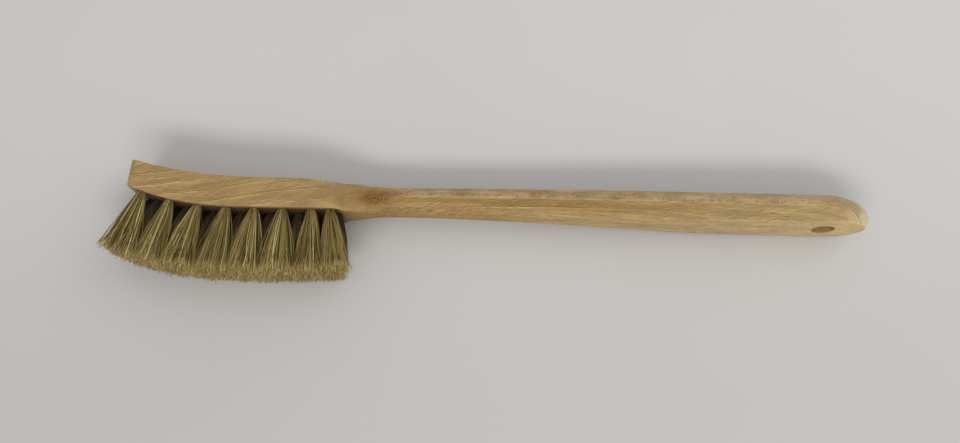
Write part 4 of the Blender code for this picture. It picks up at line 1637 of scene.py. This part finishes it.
@dataclass(frozen=True)
class PhotoCamera:
    """The camera of the photograph, worked out from the brush's outline.

    Attributes:
        focal_pixels: The focal length in pixels of an image of IMAGE_WIDTH.
        pixels_per_mm: The scale at the target.
        tilt: How far it leans towards the hair, from straight above.
        roll: How far it is turned round its own axis.
        target: The point in the middle of the image.
        sensor: The sensor's width in millimetres, which the focal length goes with.
        clip_start: How near it sees.
    """

    focal_pixels: float = 840
    pixels_per_mm: float = 2.456
    tilt: float = math.radians(17.2)
    roll: float = math.radians(1.1)
    target: Triple = (-6.45 * MM, 1.5 * MM, 11.65 * MM)
    sensor: float = 36.0
    clip_start: float = 10 * MM

    def build(self) -> None:
        """Makes the camera and sets it as the scene's own."""
        data = bpy.data.cameras.new("photo_camera")
        data.sensor_width = self.sensor
        data.lens = self.sensor * self.focal_pixels / IMAGE_WIDTH
        data.clip_start = self.clip_start
        camera = add_object("photo_camera", data)
        back = Vector((0, -math.sin(self.tilt), math.cos(self.tilt)))
        flat_right = Vector((0, 1, 0)).cross(back).normalized()
        flat_up = back.cross(flat_right)
        right = flat_right * math.cos(self.roll) + flat_up * math.sin(self.roll)
        up = flat_up * math.cos(self.roll) - flat_right * math.sin(self.roll)
        turn = Matrix((right, up, back)).transposed().to_4x4()
        distance = self.focal_pixels / self.pixels_per_mm * MM
        camera.matrix_world = Matrix.Translation(Vector(self.target) + back * distance) @ turn
        bpy.context.scene.camera = camera


@dataclass(frozen=True)
class SoftLamp:
    """A soft lamp that faces the brush.

    Attributes:
        name: The lamp's name.
        place: Where it hangs.
        size: Its width and its height.
        power: Its power in watts.
        color: Its colour.
    """

    name: str
    place: Triple
    size: Ramp
    power: float
    color: Color

    def build(self) -> None:
        """Adds the lamp to the scene."""
        data = bpy.data.lights.new(self.name, "AREA")
        data.shape = "RECTANGLE"
        data.size, data.size_y = self.size
        data.energy = self.power
        data.color = self.color
        lamp = add_object(self.name, data)
        lamp.location = self.place
        lamp.rotation_euler = Vector(self.place).to_track_quat("Z", "Y").to_euler()


@dataclass(frozen=True)
class Studio:
    """The pale table, the soft lamps and the pale surroundings.

    Attributes:
        table: The table's colour.
        table_roughness: The table's roughness.
        table_specular: How much the table reflects.
        half_size: Half the table's side.
        world: The surroundings' colour as light.
        world_strength: How strong it is.
        backdrop: The surroundings' colour where they are seen.
        lamps: The lamps.
    """

    table: Color = srgb(193, 190, 187)
    table_roughness: float = 0.8
    table_specular: float = 0.1
    half_size: float = 2.5
    world: Color = (0.96, 0.98, 1.0)
    world_strength: float = 0.66
    backdrop: Color = srgb(203, 201, 199)
    lamps: tuple[SoftLamp, ...] = (
        SoftLamp("window_light", (-0.1, -1.05, 0.93), (1.3, 0.3), 11.0, (1.0, 0.985, 0.96)),
        SoftLamp("room_light", (0.7, 0.25, 0.9), (0.9, 0.9), 2.4, (0.95, 0.975, 1.0)),
    )

    def build(self) -> None:
        """Makes the table, the world and the lamps."""
        bm = bmesh.new()
        bmesh.ops.create_grid(bm, x_segments=1, y_segments=1, size=self.half_size)
        mesh = bpy.data.meshes.new("table_top")
        bm.to_mesh(mesh)
        bm.free()
        table = add_object("table_top", mesh)
        mesh.materials.append(self.table_finish())
        self.surround()
        for lamp in self.lamps:
            lamp.build()

    def table_finish(self) -> bpy.types.Material:
        """Makes the table's material, faintly cloudy, with painted light making it brighter at the back and to the
        right.

        Returns:
            The material.
        """
        material, desk, shader = new_material("pale_table", self.table_specular)
        place = desk.coordinates()
        x, y, _ = desk.parts(place)
        cloudy = desk.spread(desk.noise(place, 6.0), 0.3, 0.7, -0.015, 0.015)
        lit = desk.plus(desk.spread(y, -0.1, 0.1, 0.91, 1.08), desk.spread(x, -0.2, 0.2, -0.02, 0.03))
        desk.feed(shader.inputs["Base Color"], desk.greyed(1.0, self.table, desk.plus(lit, cloudy)))
        shader.inputs["Roughness"].default_value = self.table_roughness
        return material

    def surround(self) -> None:
        """Makes the surroundings, plain and pale where they are seen."""
        world = bpy.data.worlds.new("surroundings")
        bpy.context.scene.world = world
        world.use_nodes = True
        desk = NodeDesk(world.node_tree)
        light = world.node_tree.nodes["Background"]
        light.inputs["Color"].default_value = (*self.world, 1)
        light.inputs["Strength"].default_value = self.world_strength
        seen = desk.node("ShaderNodeBackground")
        seen.inputs["Color"].default_value = (*self.backdrop, 1)
        seen.inputs["Strength"].default_value = 1.0
        path = desk.node("ShaderNodeLightPath")
        shows = desk.larger(*(path.outputs[f"Is {kind} Ray"] for kind in ("Camera", "Glossy", "Transmission")))
        mixed = desk.node("ShaderNodeMixShader")
        for socket, value in zip(mixed.inputs, (shows, light.outputs[0], seen.outputs[0])):
            desk.feed(socket, value)
        desk.feed(world.node_tree.nodes["World Output"].inputs["Surface"], mixed.outputs[0])


def main() -> None:
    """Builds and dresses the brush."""
    logging.basicConfig(level=logging.INFO, format="%(name)s: %(message)s")
    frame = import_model()
    bpy.context.scene.view_settings.view_transform = "Standard"
    PhotoCamera().build()
    Studio().build()
    streaks = streak_group()

    body = BeechBody()
    wood, marks = body.build(frame["nodes"]["brush_body"])
    finish_piece(wood, BeechFinish().build(streaks, marks), Slot.BEECH, "brush_body")
    hair = HairFinish().build(streaks)
    for piece, node in HairField(body).build():
        finish_piece(piece, hair, Slot.HAIR, node)
    wire = WireFinish().build(streaks)
    for name, node in frame["nodes"].items():
        if name.startswith("staple_"):
            node.data.materials.clear()
            node.data.materials.append(wire)
            LOG.info("%s: dressed in %s", name, wire.name)


if __name__ == "__main__":
    main()
